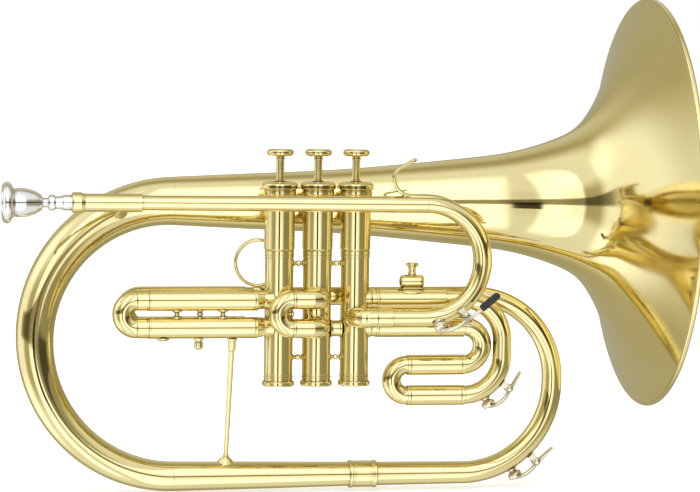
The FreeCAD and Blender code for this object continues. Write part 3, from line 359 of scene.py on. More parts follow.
def turned(solid, outline, start, heading, around=48, fillet=LIP, knurl=None):
    """Lathe-turned shape from its base along heading."""
    heading = Vector(heading).normalized()
    return along(solid, Route(start, heading, [1.0]), outline, around, fillet, knurl)


def strap(solid, stations, corner=0.45):
    """Bar with rounded edges through stations of (place, heading, side, half width, half thickness)."""
    rings = []
    count = len(stations)
    for k, (place, heading, side, wide, thick) in enumerate(stations):
        up = heading.cross(side)
        soft = min(corner, 0.9 * wide, 0.9 * thick)
        shift = Vector()
        shapes = [(0.0, shift)]
        if k in (0, count - 1):
            outwards = heading * (-1 if k == 0 else 1)
            shapes = [(soft * (1 - math.cos(a)), outwards * (soft * (math.sin(a) - 1)))
                      for a in (0.0, 0.5, 1.0, 1.45)]
            if k == 0:
                shapes.reverse()
        for inset, shift in shapes:
            ring = []
            for cx, cy, first in ((1, 1, 0), (-1, 1, 1), (-1, -1, 2), (1, -1, 3)):
                hub_w = (wide - soft) * cx
                hub_t = (thick - soft) * cy
                for step in range(4):
                    a = math.pi / 2 * (first + step / 3)
                    reach = max(soft - inset, 0.02)
                    ring.append(place + shift + side * (hub_w + math.cos(a) * reach)
                                + up * (hub_t + math.sin(a) * reach))
            rings.append(ring)
    return capped(solid, rings)


def plate_ring(middle, up, sweep, half, outer, inner):
    """Section of a thin plate on top of a tube: out to sweep on both sides of up, then back inside. outer
    gives its outer radius at an angle, and half is the number of steps from up to the plate's edge."""
    turns = [sweep * (j / half - 1) for j in range(2 * half + 1)]
    sides = [(b, outer(b)) for b in turns] + [(b, inner) for b in reversed(turns)]
    return [middle + (up * math.cos(b) - Y * math.sin(b)) * radius for b, radius in sides]


def limb(solid, points, widths, thicknesses, flat, per=8, around=20):
    """Cast arm of oval section that flows through points; flat is the direction of its width."""
    line = flowing(points, per)
    sizes = flowing([Vector((w, t)) for w, t in zip(widths, thicknesses)], per)
    rings = []
    for k, place in enumerate(line):
        heading = (line[min(k + 1, len(line) - 1)] - line[max(k - 1, 0)]).normalized()
        side = (flat - heading * flat.dot(heading)).normalized()
        up = heading.cross(side)
        ends = [1.0]
        if k in (0, len(line) - 1):
            ends = [0.35, 0.75, 1.0] if k == 0 else [1.0, 0.75, 0.35]
        for share in ends:
            shift = heading * ((-1 if k == 0 else 1) * sizes[k].y * math.sqrt(1 - share * share))
            ring = []
            for step in range(around):
                a = 2 * math.pi * step / around
                ring.append(place + shift + side * (math.cos(a) * sizes[k].x * share)
                            + up * (math.sin(a) * sizes[k].y * share))
            rings.append(ring)
    return capped(solid, rings)


def spline_outline(corners, count):
    """Natural cubic spline through (distance, radius) corners, as count points evenly spaced in parameter."""
    corners = [Vector(c) for c in corners]
    gaps = [(b - a).length for a, b in zip(corners, corners[1:])]
    knots = [0.0]
    for gap in gaps:
        knots.append(knots[-1] + gap)
    last = len(corners) - 1
    lower, diagonal, right = [0.0], [1.0], [Vector((0, 0))]
    for k in range(1, last):
        lower.append(gaps[k - 1])
        diagonal.append(2 * (gaps[k - 1] + gaps[k]))
        slopes = [(corners[j + 1] - corners[j]) / gaps[j] for j in (k - 1, k)]
        right.append(6 * (slopes[1] - slopes[0]))
    upper = [0.0] + [gaps[k] for k in range(1, last)]
    for k in range(1, last):
        share = lower[k] / diagonal[k - 1]
        diagonal[k] -= share * upper[k - 1]
        right[k] = right[k] - right[k - 1] * share
    bends = [Vector((0, 0)) for _ in corners]
    for k in range(last - 1, 0, -1):
        bends[k] = (right[k] - bends[k + 1] * upper[k]) / diagonal[k]
    path = []
    for step in range(count + 1):
        at = knots[-1] * step / count
        k = min(max(j for j in range(last + 1) if knots[j] <= at + 1e-9), last - 1)
        h, a, b = gaps[k], knots[k + 1] - at, at - knots[k]
        path.append(bends[k] * (a ** 3 / (6 * h)) + bends[k + 1] * (b ** 3 / (6 * h))
                    + (corners[k] / h - bends[k] * (h / 6)) * a
                    + (corners[k + 1] / h - bends[k + 1] * (h / 6)) * b)
    return path


# ---------------------------------------------------------------- materials

class Paint:
    """Node material built from a few named steps."""

    def __init__(self, name):
        self.material = bpy.data.materials.new(name)
        self.material.use_nodes = True
        self.tree = self.material.node_tree
        self.shader = self.tree.nodes["Principled BSDF"]
        self.place = self.add("ShaderNodeTexCoord").outputs["Object"]

    def add(self, kind, **settings):
        node = self.tree.nodes.new(kind)
        for key, value in settings.items():
            setattr(node, key, value)
        return node

    def link(self, start, end):
        self.tree.links.new(start, end)

    def noise(self, scale, detail=4.0, roughness=0.55, stretch=(1, 1, 1)):
        mapping = self.add("ShaderNodeMapping")
        mapping.inputs["Scale"].default_value = stretch
        self.link(self.place, mapping.inputs["Vector"])
        node = self.add("ShaderNodeTexNoise")
        node.inputs["Scale"].default_value = scale
        node.inputs["Detail"].default_value = detail
        node.inputs["Roughness"].default_value = roughness
        self.link(mapping.outputs["Vector"], node.inputs["Vector"])
        return node.outputs["Fac"]

    def ramp(self, source, low, high, at=(0.35, 0.65)):
        """Colour or grey ramp between two values."""
        node = self.add("ShaderNodeValToRGB")
        for stop, value, spot in zip(node.color_ramp.elements, (low, high), at):
            stop.position = spot
            stop.color = (*value, 1) if isinstance(value, tuple) else (value, value, value, 1)
        self.link(source, node.inputs["Fac"])
        return node.outputs["Color"]

    def occlusion_shade(self, distance, low=0.45, high=0.95):
        """Painted shade mask from ambient occlusion: 0 in the open and 1 in corners."""
        node = self.add("ShaderNodeAmbientOcclusion", samples=6)
        node.inputs["Distance"].default_value = distance
        return self.ramp(node.outputs["AO"], 1.0, 0.0, (low, high))

    def mix(self, share, low, high):
        node = self.add("ShaderNodeMix", data_type="RGBA")
        self.link(share, node.inputs["Factor"])
        for value, socket in ((low, node.inputs["A"]), (high, node.inputs["B"])):
            if isinstance(value, tuple):
                socket.default_value = (*value, 1)
            else:
                self.link(value, socket)
        return node.outputs["Result"]

    def bump(self, height, strength, distance):
        node = self.add("ShaderNodeBump")
        node.inputs["Strength"].default_value = strength
        node.inputs["Distance"].default_value = distance
        self.link(height, node.inputs["Height"])
        self.link(node.outputs["Normal"], self.shader.inputs["Normal"])

    def set(self, **values):
        for key, value in values.items():
            self.shader.inputs[key.replace("_", " ")].default_value = value
        return self


def metal(name, light, warm, corner_shade, rough, coat, grain=900.0):
    """Polished metal with patches of colour, faint handling marks and painted shade in the corners."""
    paint = Paint(name).set(Metallic=1.0, Coat_Weight=coat, Coat_Roughness=0.04, Coat_IOR=1.5)
    patches = paint.ramp(paint.noise(22.0), light, warm)
    # painted shade: where ambient occlusion finds a corner, the base colour is mixed towards the dark shade
    # tone
    paint.link(paint.mix(paint.occlusion_shade(0.0035), patches, corner_shade), paint.shader.inputs["Base Color"])
    paint.link(paint.ramp(paint.noise(60.0, 6.0), rough * 0.75, rough * 1.35),
               paint.shader.inputs["Roughness"])
    paint.bump(paint.noise(grain, 3.0, stretch=(0.35, 1, 1)), 0.03, 0.0002)
    return paint.material


def brushed(name, tone, rough):
    """Lapped or drawn metal with fine lines across the frame's Z."""
    paint = Paint(name).set(Metallic=1.0)
    shades = tuple(c * 0.82 for c in tone)
    lines = paint.noise(500.0, 5.0, stretch=(0.2, 0.2, 6.0))
    paint.link(paint.ramp(lines, shades, tone), paint.shader.inputs["Base Color"])
    paint.link(paint.ramp(lines, rough * 0.8, rough * 1.3), paint.shader.inputs["Roughness"])
    paint.bump(lines, 0.12, 0.0002)
    return paint.material


def cork():
    paint = Paint("cork")
    grain = paint.add("ShaderNodeTexVoronoi")
    grain.inputs["Scale"].default_value = 1400.0
    paint.link(paint.place, grain.inputs["Vector"])
    tone = paint.ramp(grain.outputs["Distance"], (0.28, 0.16, 0.08), (0.66, 0.46, 0.27), (0.1, 0.5))
    specks = paint.ramp(paint.noise(700.0), 0.0, 1.0, (0.6, 0.68))
    paint.link(paint.mix(specks, tone, (0.16, 0.09, 0.05)), paint.shader.inputs["Base Color"])
    paint.set(Roughness=0.85)
    paint.bump(grain.outputs["Distance"], 0.5, 0.0003)
    return paint.material


def rubber():
    paint = Paint("rubber").set(Specular_IOR_Level=0.4)
    dust = paint.noise(300.0)
    paint.link(paint.ramp(dust, (0.012, 0.012, 0.013), (0.035, 0.034, 0.033)),
               paint.shader.inputs["Base Color"])
    paint.link(paint.ramp(dust, 0.42, 0.62), paint.shader.inputs["Roughness"])
    paint.bump(paint.noise(1500.0), 0.2, 0.0002)
    return paint.material


def felt():
    paint = Paint("felt").set(Roughness=0.95, Sheen_Weight=0.5, Sheen_Roughness=0.4)
    fibres = paint.noise(1600.0, 8.0, 0.75)
    paint.link(paint.ramp(fibres, (0.05, 0.012, 0.012), (0.16, 0.05, 0.04)),
               paint.shader.inputs["Base Color"])
    paint.bump(fibres, 0.8, 0.0005)
    return paint.material


BRASS_LIGHT = (0.85, 0.73, 0.35)
BRASS_WARM = (0.82, 0.69, 0.31)
# dark brass tone that metal() paints into corners as shade
BRASS_CORNER_SHADE = (0.40, 0.32, 0.12)
# in each metal() call the third colour is the tone of the painted corner shade
MATERIALS = {
    BRASS: metal("lacquered_brass", BRASS_LIGHT, BRASS_WARM, BRASS_CORNER_SHADE, 0.07, 0.3),
    SILVER: metal("silver_plate", (0.90, 0.89, 0.87), (0.86, 0.84, 0.81), (0.30, 0.27, 0.24), 0.09, 0.0),
    "nickel_alloy": brushed("nickel_alloy", (0.60, 0.53, 0.40), 0.20),
    STEEL: brushed("spring_steel", (0.62, 0.61, 0.60), 0.28),
    "cork": cork(),
    "black_rubber": rubber(),
}
POSTS = metal("pale_posts", (0.84, 0.76, 0.56), (0.80, 0.71, 0.48), (0.34, 0.25, 0.13), 0.13, 0.2)
FELT = felt()


# ---------------------------------------------------------------- bell and bows

# (X, outer radius) down the bell; a smooth curve runs through them
BELL_CURVE = ((-93.7, 16.4), (-34.0, 19.2), (17.0, 21.7), (60.0, 25.2), (101.0, 29.3), (144.0, 35.3),
              (170.0, 43.0), (188.6, 52.4), (203.0, 69.1), (218.0, 96.5), (234.3, 139.7))
BELL_WALL = 0.6
BOW_ROOT_R = 10.0             # of the left bow at the bottom run
BOTTOM_R = 8.1                # of the bottom run at the ferrule
REAR_R = 6.3                  # rear tube, where the right bow starts


def bell():
    """Stem and flare in one polished skin, and the wired bead round the mouth."""
    axis_at = centre("bell_flare")
    start = Vector((0, axis_at.y, axis_at.z))
    outer = spline_outline(BELL_CURVE, 150)
    inner = []
    for k, point in enumerate(outer):
        heading = (outer[min(k + 1, 150)] - outer[max(k - 1, 0)]).normalized()
        inner.append(point + Vector((heading.y, -heading.x)) * BELL_WALL)
    outline = [tuple(p) for p in outer] + [tuple(p) for p in reversed(inner)]
    shell = turned(Solid(), outline, start, X, 192, 0.15)
    piece("bell_shell", shell, "bell_stem", "bell_flare")
    low, high = span("bell_rim")
    bead = (high.x - low.x) / 2
    ring_r = (high.z - low.z) / 2 - bead
    outline = []
    for k in range(20):
        a = 2 * math.pi * k / 20
        outline.append((low.x + bead + bead * math.cos(a), ring_r + bead * math.sin(a)))
    outline[10] = (outline[10][0] + 0.25, outline[10][1])
    piece("bell_bead", turned(Solid(), outline, start, X, 256, 0.0), "bell_rim")


def left_bow():
    """Tapered bow from the bottom run up to the bell, in a plane that leans back."""
    foot = centre("bottom_tube")
    top = centre("bell_flare")
    join_x = span("bell_stem")[0].x
    low = Vector((join_x, foot.y, foot.z))
    high = Vector((join_x, top.y, top.z))
    axis = (high - low).cross(X).normalized()
    route = Route(low, -X, [((high - low).length / 2, 180, axis)], side=axis)
    steps = 60
    growth = BELL_CURVE[0][1] - BOW_ROOT_R
    outer = []
    for k in range(steps + 1):
        share = k / steps
        outer.append((route.length * share, BOW_ROOT_R + growth * (0.69 * share + 0.31 * share * share)))
    piece("left_bow_tube", along(Solid(), route, walled(outer), 72), "left_bow")


def bottom_run():
    """Bottom tube, widening towards the left bow, and the beaded ferrule at its right end."""
    low, high = span("bottom_tube")
    middle = centre("bottom_tube")
    start = Vector((high.x, middle.y, middle.z))
    run = high.x - low.x
    half_r = (BOTTOM_R + BOW_ROOT_R) / 2 + 0.1
    outer = [(0, BOTTOM_R), (run / 2, half_r), (run, BOW_ROOT_R)]
    piece("bottom_run", turned(Solid(), walled(outer), start, -X, 56), "bottom_tube")
    low, high = span("bottom_ferrule")
    middle = centre("bottom_ferrule")
    bead = (high.z - low.z) / 2
    band = bead - 0.4
    outline = mirrored([(0, BOTTOM_R + 0.1), (0, bead - 0.35), (0.6, bead), (1.9, bead), (2.4, band),
                        (3.4, band),
                        (3.6, band - 0.2), (4.1, band - 0.2), (4.3, band)], high.x - low.x)
    start = Vector((low.x, middle.y, middle.z))
    piece("bottom_ferrule_ring", turned(Solid(), outline, start, X, 56, 0.12), "bottom_ferrule")


RIGHT_TOP_R = 57.0            # centreline arcs of the right bow
RIGHT_LOW_R = 61.6
RIGHT_BOW_X = 168.4           # of its centreline, furthest right


def right_bow_stations():
    """Place, heading and radius down the right bow, whose plane eases back from the rear tube's."""
    joint_x = span("bottom_tube")[1].x
    rear = centre("rear_tube")
    foot = centre("bottom_tube")
    top_hub = Vector((RIGHT_BOW_X - RIGHT_TOP_R, 0, rear.z - RIGHT_TOP_R))
    low_hub = Vector((RIGHT_BOW_X - RIGHT_LOW_R, 0, foot.z + RIGHT_LOW_R))
    drop = top_hub.z - low_hub.z
    steps = [(RIGHT_TOP_R, 90, Y), drop, (RIGHT_LOW_R, 90, Y), low_hub.x - joint_x]
    route = Route((top_hub.x, 0, rear.z), X, [s for s in steps if isinstance(s, tuple) or s > 0.01])
    bend = route.length - (low_hub.x - joint_x)
    count = 110
    stations = []
    for k in range(count + 1):
        far = route.length * k / count
        place, heading, side = route.at(far)
        place.y = rear.y + (foot.y - rear.y) * eased(far / bend)
        stations.append((place, heading, side, REAR_R + (BOTTOM_R - REAR_R) * far / route.length))
    return stations


def right_bow():
    stations = right_bow_stations()
    outer = [circle(p, h, s, r, 56) for p, h, s, r in stations]
    inner = [circle(p, h, s, r - WALL, 56) for p, h, s, r in reversed(stations)]
    piece("right_bow_tube", Solid().skin(outer + inner), "right_bow")
    low, high = span("rear_tube")
    middle = centre("rear_tube")
    route = straight((low.x, middle.y, middle.z), (high.x, middle.y, middle.z))
    run = lined_tube(Solid(), route, REAR_R, REAR_R - WALL, (route.length - 11.4, route.length - 3.4))
    piece("rear_run", run, "rear_tube")


# ---------------------------------------------------------------- leadpipe side

LEAD_GROWTH = 0.7             # of the leadpipe's radius, from the receiver to the front bow
LEAD_WALL = 0.75
RECEIVER_DEPTH = 25.0         # of the receiver's cup, and of the leadpipe's level start
RECEIVER_R = 6.1


def leadpipe():
    """Tapered leadpipe with a straight top edge, and the receiver."""
    low, high = span("leadpipe")
    lead = centre("leadpipe")
    radius = tube_radius("leadpipe")
    length = high.x - low.x
    end_r = radius + LEAD_GROWTH
    outline = [(0, radius), (RECEIVER_DEPTH, radius), (length, end_r), (length, end_r - LEAD_WALL),
               (RECEIVER_DEPTH, radius - LEAD_WALL), (0, radius - LEAD_WALL)]
    pipe = turned(Solid(), outline, (low.x, lead.y, lead.z), X)
    for point in pipe.points:
        point.z -= LEAD_GROWTH * max(0.0, point.x - low.x - RECEIVER_DEPTH) / (length - RECEIVER_DEPTH)
    piece("leadpipe_tube", pipe, "leadpipe")
    low, high = span("receiver")
    length = high.x - low.x
    outline = [(0, 5.4), (0, 6.5, 0.5), (0.9, 7.0, 0.6), (6.0, 7.0, 0.3), (6.5, 6.7, 0.2), (7.9, 6.4),
               (8.4, RECEIVER_R, 0.3), (length, RECEIVER_R, 0.3), (length, radius + 0.05),
               (RECEIVER_DEPTH, radius + 0.05), (RECEIVER_DEPTH, 4.95)]
    body = turned(Solid(), outline, (low.x, lead.y, lead.z), X, 56)
    piece("receiver_body", body, "receiver")


FRONT_SWELL = 1.45            # growth of the front bow's radius over its first quarter
FRONT_WALL = 0.6
BRANCH_R = 5.9                # its lower leg


def front_bend():
    """Centre and radius of the front bow's bend."""
    lead = centre("leadpipe")
    arc = (lead.z - span("front_bow")[0].z - BRANCH_R) / 2
    return Vector((span("leadpipe")[1].x, lead.y, lead.z - arc)), arc


def front_bow():
    """Bow at the end of the leadpipe, which swells and then narrows to its lower leg."""
    hub, arc = front_bend()
    lead_r = tube_radius("leadpipe")
    leg = hub.x - span("front_bow")[0].x
    route = Route((hub.x, hub.y, hub.z + arc), X, [(arc, 180, Y), leg])
    bend = route.length - leg
    outer = []
    steps = 60
    for k in range(steps + 1):
        angle = 180.0 * k / steps
        rise = LEAD_GROWTH + (FRONT_SWELL - LEAD_GROWTH) * math.sin(math.radians(min(90.0, angle)))
        if angle > 90:
            rise = FRONT_SWELL - (lead_r + FRONT_SWELL - BRANCH_R) * (angle - 90.0) / 90.0
        outer.append((bend * k / steps, lead_r + rise))
    outer.append((route.length, BRANCH_R))
    bow = along(Solid(), route, walled(outer, FRONT_WALL), 56)
    for point in bow.points:
        height = (point.z - hub.z) / arc
        point.z -= LEAD_GROWTH * min(1.0, max(0.0, height)) ** 2
    piece("front_bow_tube", bow, "front_bow")


ELBOW_R = 6.45
OUTLET_ARC = 16.0


def casing_foot(far, radius, depth, bulge):
    """Corners of the solder fillet where a tube meets a casing, its end lying depth inside the wall."""
    return [(far - depth - 1.6, radius, 0.6), (far - depth - 0.7, radius + 0.45, 0.4),
            (far - depth, bulge - 1.2, 0.3), (far, bulge - 1.2)]


def onto_casing(solid, number, axis):
    """Pulls whatever reaches into a casing back onto its wall, so that a tube ends in a saddle."""
    reach = CASING_R - 0.25
    across = Y if axis == X else X
    middle = Vector((VALVE_X[number], 0, 0))
    for k, point in enumerate(solid.points):
        offset = point - middle
        aside, away = offset.dot(across), offset.dot(axis)
        if abs(aside) < reach and offset.xy.length < reach:
            edge = math.copysign(math.sqrt(reach * reach - aside * aside), away)
            solid.points[k] = point + axis * (edge - away)


def elbows():
    """Front elbow into the third valve, and the rear one out of the first."""
    high = span("valve_inlet_elbow")[1]
    branch_z = centre("valve_inlet_elbow").z
    lead = centre("leadpipe")
    run = high.x - VALVE_X[3] - ELBOW_ARC
    route = Route((high.x, lead.y, branch_z), -X, [run, (ELBOW_ARC, -90, Z),
                                                   -lead.y - ELBOW_ARC - ELBOW_STOP])
    bore = BRANCH_R + BORE_GAP
    outline = [(0, bore), (0, ELBOW_R + 0.2), (1.0, ELBOW_R + 0.2), (1.2, ELBOW_R), *line(10.4, ELBOW_R),
               (run - 1, ELBOW_R), (run + 5.5, ELBOW_R + 0.35, 3.0), (run + 11.0, ELBOW_R),
               *casing_foot(route.length, ELBOW_R, 4.0, 9.0), (route.length, bore)]
    body = along(Solid(), route, outline, 56)
    onto_casing(body, 3, Y)
    piece("inlet_elbow_tube", body, "valve_inlet_elbow")
    rear = centre("main_slide_sleeves")
    heading = Vector((-0.5, math.sqrt(0.75), 0))
    first = (rear.y - OUTLET_ARC * 0.5) / heading.y
    start = Vector((VALVE_X[1], 0, centre("valve_outlet_elbow").z))
    route = Route(start, heading, [first, (OUTLET_ARC, 60, Z)])
    outlet = tube(Solid(), route, SLIDE_R, 0.55, (8.9, route.length))
    piece("outlet_elbow_tube", outlet, "valve_outlet_elbow")


# ---------------------------------------------------------------- valves

THREAD_R = 9.8
THREAD_PITCH = 0.7
BORE_R = 8.5
BARREL_R = 10.2               # spring barrels of the outer casings
BARREL_FROM = 88.5            # their shoulder above the casing's foot
SKIRT_R = 11.0                # top caps
CAP_INSIDE_R = 7.0
CAP_HOLE_R = 3.1
STEM_R = 2.7
ROD_R = 2.1                   # of the stem below its spring collar
COLLAR_Z = 66.0
BUTTON_H = 4.4


def casing(number):
    """Casing with its drawn rings, the wider spring barrel and the threaded end for the cap."""
    node = "valve_%d_casing" % number
    low, high = span(node)
    barrel = (high.x - low.x) / 2 if number == 2 else BARREL_R
    bead = CASING_R + 0.35
    top = high.z - low.z
    outline = [(0, BORE_R), (0, CASING_R), (1.9, CASING_R), (2.1, bead), (2.9, bead), (3.1, CASING_R),
               (3.7, CASING_R), (3.9, CASING_R + 0.2), (4.4, CASING_R + 0.2), (4.6, CASING_R),
               (82.8, CASING_R), (83.1, bead), (84.3, bead), (84.5, bead - 0.2), (85.0, bead - 0.2),
               (85.2, bead), (87.0, bead), (87.3, CASING_R), (87.6, CASING_R), (BARREL_FROM, barrel, 0.6),
               (top - 4.4, barrel), (top - 4.4, THREAD_R)]
    for turn in range(6):
        base = top - 4.3 + THREAD_PITCH * turn
        outline += [(base, THREAD_R - 0.2, 0), (base + THREAD_PITCH / 2, THREAD_R, 0)]
    outline += [(top, THREAD_R - 0.2), (top, BORE_R)]
    body = turned(Solid(), outline, (VALVE_X[number], 0, low.z), Z, 64, 0.12)
    piece("valve_%d_casing_tube" % number, body, node)


def caps():
    """Domed top caps with a knurled bead, vented bottom caps, and the thin felt rings round the stems."""
    low, high = span("top_valve_caps")
    bead = (high.y - low.y) / 2
    height = high.z - low.z
    bottom_low, bottom_high = span("bottom_valve_caps")
    flange = (bottom_high.y - bottom_low.y) / 2
    tops, bottoms, felts = Solid(), Solid(), Solid()
    for x in VALVE_X.values():
        outline = [(0, THREAD_R + 0.05), (0, SKIRT_R - 0.2), (0.5, SKIRT_R, 0.3), (1.1, SKIRT_R),
                   (1.3, SKIRT_R - 0.2), (1.8, SKIRT_R - 0.2), (2.0, SKIRT_R), (4.0, SKIRT_R),
                   (4.6, SKIRT_R - 0.5, 0.3), (5.0, SKIRT_R - 0.1, 0.3), (5.6, bead, 1.2),
                   (height - 1.4, bead, 2.2),
                   (height - 0.3, bead - 2.4, 1.6), (height, 7.0, 1.0), (height, CAP_HOLE_R + 1.0, 0.4),
                   (height - 0.35, CAP_HOLE_R + 0.6, 0.2), (height - 0.4, CAP_HOLE_R, 0.2),
                   (height - 2.0, CAP_HOLE_R), (height - 2.0, CAP_INSIDE_R), (4.5, CAP_INSIDE_R),
                   (4.5, THREAD_R + 0.05)]
        turned(tops, outline, (x, 0, low.z), Z, 144, 0.15, knurl=(6.4, height - 2.2, 0.16, 2, bead - 0.5))
        outline = [(0, 2.0), (0, 6.6), (0.35, 6.9), (0.35, 7.5), (0, 7.8), (0, flange - 0.9, 0.5),
                   (1.0, flange, 0.6), (2.8, flange, 0.3), (3.6, flange - 0.7), (3.6, BORE_R - 0.15),
                   (4.8, BORE_R - 0.15), (4.8, BORE_R - 1.2), (1.2, BORE_R - 1.2), (1.2, 2.0)]
        turned(bottoms, outline, (x, 0, bottom_low.z), Z, 144, 0.15, knurl=(0.9, 3.0, 0.2, 2, flange - 0.6))
        outline = [(0, 2.85), (0, 3.8), (0.8, 3.7), (0.8, 2.9)]
        turned(felts, outline, (x, 0, high.z - 0.38), Z, 48, 0.25)
    piece("top_caps", tops, "top_valve_caps")
    piece("bottom_caps", bottoms, "bottom_valve_caps")
    piece("cap_felts", felts, material=FELT)


def stem(number):
    """Piston stem with its spring collar and dished finger button."""
    node = "valve_%d_stem" % number
    low, high = span(node)
    radius = (high.x - low.x) / 2
    height = high.z - low.z
    button = height - BUTTON_H
    collar = COLLAR_Z - low.z
    outline = [(0, 0), (0, ROD_R), (collar, ROD_R), (collar, 8.0), (collar + 1.6, 8.0),
               (collar + 1.6, STEM_R),
               (button - 2.6, STEM_R), (button - 2.4, STEM_R + 0.35, 0.2), (button - 1.6, STEM_R + 0.35, 0.2),
               (button - 1.4, STEM_R, 0.2), (button - 0.8, STEM_R, 0.8), (button, STEM_R + 1.2, 0.6),
               (button, radius - 1.3, 0.8), (button + 1.2, radius, 1.2), (button + 3.2, radius, 1.2),
               (height, radius - 1.2, 0.6), (height, radius - 1.9, 0.25), (height - 0.45, radius - 2.1, 0.3),
               (height - 0.75, 3.0, 2.0), (height - 0.9, 0)]
    body = turned(Solid(), outline, (VALVE_X[number], 0, low.z), Z, 64, 0.12)
    piece("valve_%d_button_and_stem" % number, body, node, rides="valve_%d" % number)


def casing_links():
    """Beaded braces and the wind knuckles between neighbouring casings."""
    low, high = span("casing_braces")
    braces, knuckles = Solid(), Solid()
    link_z = centre("valve_knuckles").z
    for left, right in ((VALVE_X[1], VALVE_X[2]), (VALVE_X[2], VALVE_X[3])):
        start = left + CASING_R - 0.4
        length = right - left - 2 * CASING_R + 0.8
        half = length / 2
        outline = mirrored([(0, 0), (0, 2.2), (0.7, 2.1, 0.4), (1.6, 1.25, 0.6), (half - 1.3, 1.2, 0.5),
                            (half - 1.0, 1.9, 0.6)], length)
        for z in (high.z - 2.2, low.z + 2.2):
            turned(braces, outline, (start, 0, z), X, 32)
        outline = mirrored([(0, 4.8), (0, 6.1, 0.2), (0.8, 5.9, 0.4), (1.5, 5.45, 0.4)], length)
        turned(knuckles, outline, (start, 0, link_z), X, 40)
    piece("casing_brace_beads", braces, "casing_braces")
    piece("valve_knuckle_tubes", knuckles, "valve_knuckles")


# ---------------------------------------------------------------- slides

FIRST_BOW_R = 6.9
FIRST_KNUCKLE_X = -41.3       # where the first slide's sleeves narrow towards the casing
FIRST_KNUCKLE_Y = -3.8        # of their axis at the casing
KNUCKLE_STOP = 4.5            # how near a casing's axis a straight knuckle is drawn before it is cut back
STRUT_X = (-95.0, -64.2)
POST_X = -79.6
BOSS_X = -104.2
SCREW_X = -80.4
SECOND_SLEEVE_R = 6.5
THIRD_NECK_X = 40.3           # where the third slide's sleeves start
THIRD_UPPER_END_X = 87.7
THIRD_TOP_ARC = 28.0          # centreline arcs of the third slide's big bend
THIRD_LOW_ARC = 26.2
RETURN_R = 6.9
RETURN_OVERLAP = 6.5          # of a bend inside its return tube


def levels_of(node, radius):
    """Heights of the upper and lower tube of a node that holds two, one above the other."""
    low, high = span(node)
    return high.z - radius, low.z + radius


def u_bow(name, rides, node, bow_r, leg_r, shoulder):
    """Slide with its bow on the left: two inner tubes and a wider bow, lined where its arc starts."""
    low, high = span(node)
    upper, lower = levels_of(node, bow_r)
    arc = (upper - lower) / 2
    reach = high.x - (low.x + arc + bow_r)
    route = Route((high.x, centre(node).y, upper), -X, [reach, (arc, -180, Y), reach])
    far = route.length
    edge = reach - shoulder
    marks = line(reach, bow_r) + line(far - reach, bow_r) if shoulder else []
    outline = [(0, leg_r), (edge, leg_r), (edge, bow_r), *marks, (far - edge, bow_r), (far - edge, leg_r),
               (far, leg_r), (far, leg_r - WALL), (0, leg_r - WALL)]
    piece(name, along(Solid(), route, outline, 56), node, rides=rides)


def first_slide():
    """Sleeves with their knuckles into the first valve, and the long bow that slides in them."""
    node = "first_slide_sleeves"
    low = span(node)[0]
    y = centre(node).y
    upper, lower = levels_of(node, SLEEVE_LIP_R)
    run = FIRST_KNUCKLE_X - low.x
    end = VALVE_X[1] - KNUCKLE_STOP - low.x
    easing = VALVE_X[1] - CASING_R - FIRST_KNUCKLE_X
    bore = SLIDE_R + BORE_GAP
    for side, z in (("upper", upper), ("lower", lower)):
        outline = [(0, bore), (0, SLEEVE_LIP_R), (1.1, SLEEVE_LIP_R), (1.3, SLEEVE_R),
                   *line(run - 1.6, SLEEVE_R), (run, SLEEVE_R, 0.4), (run + 0.3, 6.6, 0.4), (run + 3.0, 6.3),
                   (run + 6.0, 5.9), *casing_foot(end, 5.8, 5.1, 7.6), (end, 5.0), (run + 6.0, 5.2),
                   (run + 3.0, 5.6), (run, 5.8), (run, bore)]
        sleeve = turned(Solid(), outline, (low.x, y, z), X, 56, 0.1)
        for point in sleeve.points:
            point.y += (FIRST_KNUCKLE_Y - y) * eased((point.x - FIRST_KNUCKLE_X) / easing)
        onto_casing(sleeve, 1, X)
        piece("first_slide_sleeve_" + side, sleeve, node)
    u_bow("first_slide_bow", "first_slide", "first_slide", FIRST_BOW_R, SLIDE_R, 7.7)


def first_struts():
    """Hourglass struts and the beaded post between the sleeves, and the bosses under the lower one."""
    y = centre("first_slide_sleeves").y
    upper, lower = levels_of("first_slide_sleeves", SLEEVE_LIP_R)
    bottom = lower + SLEEVE_R - 0.8
    height = upper - SLEEVE_R + 0.8 - bottom
    half = height / 2
    struts = Solid()
    foot = [(0, 0), (0, 3.8), (1.0, 3.6, 0.5), (1.7, 2.0, 0.7)]
    for x in STRUT_X:
        turned(struts, mirrored(foot, height, [(half, 1.35, 1.5)]), (x, y, bottom), Z, 36)
    outline = mirrored([(0, 0), (0, 2.6), (0.9, 2.4, 0.4), (1.4, 1.3, 0.4), (half - 1.3, 1.3, 0.3),
                        (half - 0.9, 2.1, 0.7)], height)
    turned(struts, outline, (POST_X, y, bottom), Z, 36)
    base = lower - SLEEVE_R + 0.5
    turned(struts, [(0, 0), (0, 4.4), (1.0, 4.1, 0.6), (1.9, 3.0, 1.2), (2.3, 0.8, 1.0), (2.35, 0)],
           (BOSS_X, y, base), -Z, 36)
    outline = [(0, 0), (0, 3.7), (0.9, 3.2, 0.6), (1.8, 2.9, 0.3), (2.1, 2.3, 0.2), (2.9, 2.3, 0.2),
               (3.2, 3.0, 0.3), (6.3, 3.0, 0.8), (7.7, 2.0, 1.0), (8.3, 0.6, 0.8), (8.4, 0)]
    turned(struts, outline, (SCREW_X, y, base), -Z, 36)
    piece("first_slide_turned_struts", struts, "first_slide_struts")


